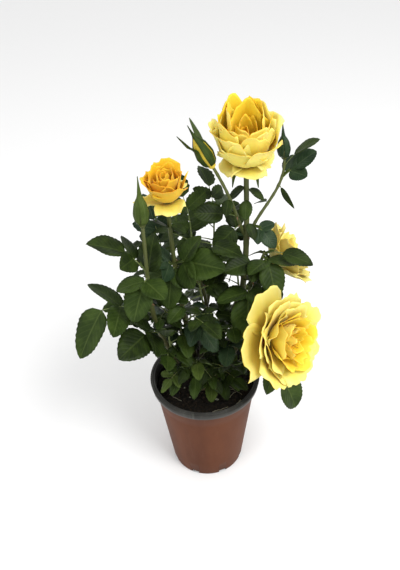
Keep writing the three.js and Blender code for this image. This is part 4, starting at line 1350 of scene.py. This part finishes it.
# %% Petals of the blooms
PAIR_TURN = 55  # degrees between petals that don't go all the way round
BLOOMS = {
    "bloom_top": ("cane_top", 36, 3.0, 270, 0.8, [
        (5, 56, 26, 34, 68, 100, 30, 1.50, 30, 0.05, "faded_and_shaded"),
        (5, 32, 54, 50, 70, 2, 40, 1.08, 60, 0.06, "lemon"),
        (4, 48, 63, 50, 60, -5, 32, 1.04, 64, 0.10, "lemon"),
        (5, 56, 68, 46, 50, -5, 24, 0.98, 56, 0.15, "golden"),
        (5, 20, 65, 38, 42, -3, 14, 0.95, 48, 0.12, "golden"),
        (4, 22, 48, 30, 30, 0, 0, 0.90, 30, 0.08, "golden"),
        (3, 60, 35, 21, 18, 0, -8, 0.85, 10, 0.05, "fresh"),
    ]),
    "bloom_left": ("cane_left_bloom", 26, 2.4, 270, 0.3, [
        (1, 290, 23, 36, 60, 92, 30, 1.3, 30, 0.06, "faded_and_shaded"),
        (1, 202, 35, 20, 66, 84, -10, 1.0, 40, 0.25, "faded_and_shaded"),
        (1, 352, 45, 22, 44, 14, 34, 0.8, 35, 0.35, "golden"),
        (1, 80, 30, 30, 66, 84, 30, 1.4, 40, 0.10, "lemon"),
        (4, 10, 40, 40, 54, 10, 34, 1.12, 60, 0.12, "fresh"),
        (4, 56, 39, 36, 43, 5, 20, 1.04, 50, 0.12, "fresh"),
        (3, 18, 37, 31, 30, 2, 2, 0.96, 36, 0.12, "fresh"),
        (3, 70, 34, 19, 14, -2, -8, 0.85, 10, 0.08, "fresh"),
    ]),
    "bloom_right": ("cane_right", 54, 3.0, 180, -0.4, [
        (2, 150, 57, 56, 83, 64, 24, 1.50, 25, 0.04, "faded_and_shaded"),
        (5, 36, 55, 50, 68, 50, 36, 1.25, 60, 0.06, "lemon"),
        (5, 70, 54, 46, 62, 42, 44, 1.15, 65, 0.08, "lemon"),
        (5, 10, 53, 42, 56, 30, 42, 1.05, 65, 0.10, "lemon"),
        (5, 44, 50, 36, 47, 20, 34, 1.00, 60, 0.12, "golden"),
        (5, 14, 46, 30, 38, 12, 24, 0.95, 50, 0.12, "golden"),
        (5, 48, 40, 23, 26, 6, 10, 0.90, 30, 0.10, "golden"),
        (4, 20, 32, 16, 14, 0, -8, 0.80, 0, 0.05, "fresh"),
    ]),
    "bloom_back": ("cane_back_right", 44, 2.8, 180, -0.3, [
        (5, 10, 47, 42, 66, 48, 36, 1.30, 60, 0.06, "faded_and_shaded"),
        (5, 46, 46, 38, 60, 36, 42, 1.20, 60, 0.10, "faded_and_shaded"),
        (5, 14, 44, 34, 50, 26, 36, 1.10, 60, 0.12, "faded_and_shaded"),
        (5, 50, 39, 28, 40, 18, 24, 1.00, 50, 0.12, "lemon"),
        (5, 18, 34, 21, 28, 8, 8, 0.95, 25, 0.10, "lemon"),
        (4, 50, 27, 14, 14, 0, -6, 0.85, 0, 0.05, "golden"),
    ]),
}


def hip_radius(radius):
    """The radius of the hip under a bloom, from the radius of the bloom, in millimetres."""
    return radius * 0.15 + 1


def seat_on(limb):
    """The matrix that turns a flower from its own axis to a limb's tip."""
    axis = bezier_tangent(CURVES[limb], 1)
    at = CURVES[limb][-1] + axis * GAP
    return Matrix.Translation(at) @ UP.rotation_difference(axis).to_matrix().to_4x4()


def make_petals(name, number):
    on, radius, _, open_side, uneven, rows = BLOOMS[name]
    seated = seat_on(on)
    hip = hip_radius(radius)
    draw = seeded(2003 * (number + 1))
    whole = new_mesh()
    count = 0
    for layer, (petals, first, length, width, lean, spread, curl, cup, roll, point, tone) in enumerate(rows):
        seat = hip * (0.86 - 0.62 * layer / (len(rows) - 1)) * MM
        height = (hip * 1.72 + 0.35 * layer) * MM
        for k in range(petals):
            azimuth = first + (360 / petals if petals > 2 else PAIR_TURN) * k + draw(-10, 10)
            fall = uneven * math.cos(math.radians(azimuth - open_side))
            add_petal(whole, seated, azimuth, seat, height,
                      length * (1 - 0.18 * fall) * draw(0.93, 1.04) * MM, width * draw(0.92, 1.08) * MM,
                      lean + 8 * fall + draw(-5, 5), spread + 16 * fall + draw(-7, 7),
                      curl + 30 * fall + draw(-12, 12), cup * draw(0.9, 1.1),
                      roll * (1 - 0.2 * fall) * draw(0.6, 1.25), point, draw, BLUSH[tone])
            count += 1
    print(name, "petals:", count)
    piece(name + "_petals", whole, PETAL_FINISHES, "petal", [name])


print("layers of petals:", {name: len(row[-1]) for name, row in BLOOMS.items()})

# %% [markdown]
# Under each bloom sits its calyx: a green hip, which is a small turned cup, and five sepals that are
# bent down once the flower is open. They could be left out, since the petals hide them from above, but
# a reusable plant is also seen from below. A sepal is a narrow sheet with thin lobes at its sides.

# %% Calyx
SEPAL_RISE = -30


def add_sepal(whole, seated, azimuth, foot, height, rise, length, tone):
    """A reflexed sepal, with the thin side lobes that rose sepals have."""
    along, across, face = leaf_frame(azimuth, rise, 0)
    a = math.radians(azimuth)
    base = Vector((math.cos(a) * foot, math.sin(a) * foot, height))

    def place(u, t):
        half = 0.13 * length * (0.75 + 0.5 * t) * (1 - t ** 1.6) + 0.012 * length
        if abs(u) > 0.99 and 0.3 < t < 0.7 and round(t * 12) % 2:
            half *= 1.5
        arch = 0.26 * math.sin(math.pi * min(1, t * 1.02)) - 0.14 * t * t
        lift = length * arch + 0.8 * half * u * u
        return seated @ (base + along * (t * length) + across * (half * u) + face * lift)

    sheet(whole, 4, 12, place, 0.4 * MM, tone, len(LEAF_TONES))


def make_calyx(name):
    """The hip under a bloom and its five sepals."""
    on, radius, neck = BLOOMS[name][:3]
    seated = seat_on(on)
    hip = hip_radius(radius)
    outline = [(0, 0), (neck, 0), (neck * 1.02, hip * 0.25), (neck * 1.15, hip * 0.5),
               (hip * 0.86, hip * 0.8), (hip, hip * 1.15), (hip * 0.96, hip * 1.5),
               (hip * 0.88, hip * 1.72), (hip * 0.9, hip * 1.82), (0, hip * 1.82)]
    whole = new_mesh()
    lathe(whole, [(r * MM, z * MM) for r, z in outline], 28, material=len(LEAF_FINISHES),
          place=lambda co: seated @ co)
    for k in range(5):
        add_sepal(whole, seated, k * 72 + 10, hip * 0.6 * MM, hip * 1.3 * MM, SEPAL_RISE,
                  (radius * 0.45 + 8) * MM, TONE["fresh"])
    piece(name + "_calyx", whole, [*LEAF_FINISHES, BRANCH], "bud", [])


for number, name in enumerate(BLOOMS):
    make_petals(name, number)
    make_calyx(name)

# %% [markdown]
# In the heart of an open bloom stands a tuft of stamens: amber threads, each with a thicker tip. A
# dark spot on the petals could stand for them, but a look into the flower would show it up, so each
# thread is a thin tube, and the golden turn spreads them evenly.

# %% Stamens
STAMEN = bark_finish("stamen", (0.240, 0.080, 0.010), (0.260, 0.095, 0.012), 0.2, 0.3,
                     (0.080, 0.030, 0.010), 0.6, 0.2)


def make_stamens(name, count, reach):
    on, radius = BLOOMS[name][:2]
    seated = seat_on(on)
    base = hip_radius(radius) * 1.8
    draw = seeded(77)
    whole = new_mesh()
    for k in range(count):
        turn, lean, length = k * GOLDEN_TURN, draw(4, 34), reach * draw(0.75, 1.1)
        out = heading(turn, 90 - lean)
        foot = Vector((out.x, out.y, 0)) * 3 * MM + UP * (base - 1) * MM
        path = [foot + out * (length * i / 4) * MM for i in range(5)]
        tube(whole, [seated @ at for at in path],
             lambda t, turn: (0.25 if t < 0.85 else 0.75 if t < 0.99 else 0.2) * MM, 6)
    piece(name + "_stamens", whole, [STAMEN], "petal", [])


make_stamens("bloom_top", 34, 37)
make_stamens("bloom_right", 38, 35)
make_stamens("bloom_back", 28, 20)

# %% [markdown]
# A bud is an egg of furled petals in five long sepals. It could be one turned egg painted green, but
# the seams between the sepals and their free tails are what make it a bud. The sepals are curved
# sheets that hug the egg, a fifth of its girth wide or a little more, so that they overlap, and drawn
# out into tails above it. On the half-open bud they are narrower, every other one stands free, and the
# petals show, wound in a spiral. A row gives the limb, the egg's radius and height and the neck's
# radius, the rise and length of the sepals, their tone, and their width as a share of that fifth.

# %% Buds
# The outline of a bud: a share of its height, and the share of its radius there.
EGG = ((0, 0.4), (0.08, 0.48), (0.2, 0.8), (0.42, 1), (0.7, 0.8), (0.88, 0.42), (1, 0.02), (2, 0.02))
BUDS = {
    "bud_left": ("cane_left", 7.5, 36, 2.1, 88, 48, "fresh", 1.22),
    "bud_half_open": ("branch_half_bud", 9, 40, 1.8, 75, 46, "mid", 0.97),
    "bud_small": ("branch_small_bud", 7, 28, 1.7, 80, 36, "waxy_and_sky_reflection", 1.10),
}


def egg_radius(share):
    """The egg's radius at a share of its height, eased between the rows of EGG."""
    for (z0, r0), (z1, r1) in zip(EGG, EGG[1:]):
        if share <= z1:
            f = (share - z0) / (z1 - z0)
            return r0 + (r1 - r0) * (0.6 * f + 0.4 * f * f * (3 - 2 * f))
    return EGG[-1][1]


def make_bud(name):
    on, radius, height, neck, rise, sepal, tone, cover = BUDS[name]
    seated = seat_on(on)
    whole = new_mesh()
    yellow = len(LEAF_FINISHES)
    egg = [(0, 0), (neck, 0)]
    egg += [(max(neck * (1 - i / 6), radius * egg_radius(i / 20) * 0.95), height * i / 20)
            for i in range(1, 20)]
    egg.append((0, height * 0.985))

    def wound(co):
        turn = math.atan2(co.y, co.x)
        share = co.z / (height * MM)
        groove = 1 - 0.10 * max(0, share - 0.2) * (0.5 + 0.5 * math.sin(3 * turn + 9 * share))
        return seated @ Vector((co.x * groove, co.y * groove, co.z))

    half = math.pi * radius / 5 * cover
    parted = cover < 1
    lathe(whole, [(r * MM, z * MM) for r, z in egg], 40, yellow if parted else yellow + 1, place=wound)
    top = sepal * math.sin(math.radians(rise)) / height
    for k in range(5):
        azimuth = math.radians(k * 72 + 10)

        def place(u, t, azimuth=azimuth, k=k):
            share = 0.13 + (top + 0.05) * t
            free = 0.6 * radius + t * sepal * math.cos(math.radians(rise))
            tail = 0.8 * max(0, 1 - t) ** 1.2 if share > 0.6 else 0
            hug = radius * max(egg_radius(share), tail) * (1.02 + 0.012 * k) + 0.3
            r = max(hug, free * min(1, 1.6 * t)) if parted and k % 2 else hug
            wide = half * min(1, 0.5 + 1.8 * t) * (1 - t) ** (0.7 if parted else 0.45) + 0.25
            turn = azimuth + (0 if parted else 0.3 * t) + wide * u / max(r, 0.22 * radius)
            r += 0.35 * u * u * (1 - t)
            return seated @ (Vector((math.cos(turn) * r, math.sin(turn) * r, share * height)) * MM)

        bm = new_mesh()
        sheet(bm, 6, 16, place, 0.35 * MM, TONE[tone], len(LEAF_TONES))
        bmesh.ops.reverse_faces(bm, faces=bm.faces)
        pour(whole, bm)
    finishes = [*LEAF_FINISHES, PETAL_FINISHES[2 * BLUSH["faded_and_shaded"]], BRANCH]
    piece(name + "_sheath", whole, finishes, "bud", [name])


for name in BUDS:
    make_bud(name)

# %% [markdown]
# ## Light and floor
#
# The light is plain and soft: a large panel high on the right in front, a weaker one on the left, and
# a pale world that fills the shade. A sun lamp would be simpler, but its hard shadows would cut the
# foliage to pieces. The floor is one large pale plane. The view transform is the standard one, so that
# a colour comes out as it was mixed.

# %% Stage
FLOOR_SIZE = 8.0
PLANT_MIDDLE = Vector((0, 0, 0.25))


def make_floor():
    bm = new_mesh()
    bmesh.ops.create_grid(bm, x_segments=1, y_segments=1, size=FLOOR_SIZE / 2)
    mesh = bpy.data.meshes.new("floor")
    bm.to_mesh(mesh)
    bm.free()
    finish = Finish("floor_paper", Roughness=0.9, Specular_IOR_Level=0.1)
    finish.color((0.86, 0.86, 0.86))
    mesh.materials.append(finish.material)
    floor = bpy.data.objects.new("floor", mesh)
    bpy.context.scene.collection.objects.link(floor)


def add_panel(name, at, size, power):
    data = bpy.data.lights.new(name, "AREA")
    data.shape = "DISK"
    data.size = size
    data.energy = power
    panel = bpy.data.objects.new(name, data)
    panel.location = at
    panel.rotation_euler = (PLANT_MIDDLE - Vector(at)).to_track_quat("-Z", "Y").to_euler()
    bpy.context.scene.collection.objects.link(panel)


def make_world(brightness):
    world = bpy.data.worlds.new("studio")
    world.use_nodes = True
    background = world.node_tree.nodes["Background"]
    background.inputs["Color"].default_value = (1, 1, 1, 1)
    background.inputs["Strength"].default_value = brightness
    bpy.context.scene.world = world


make_floor()
add_panel("key_panel", (0.8, -0.8, 1.7), 0.9, 24)
add_panel("fill_panel", (-1.3, -0.9, 1.1), 1.2, 6)
make_world(0.95)
bpy.context.scene.view_settings.view_transform = "Standard"

# %% Pieces and triangles
print("all pieces:", len(PIECES), "with", sum(PIECES.values()), "triangles")
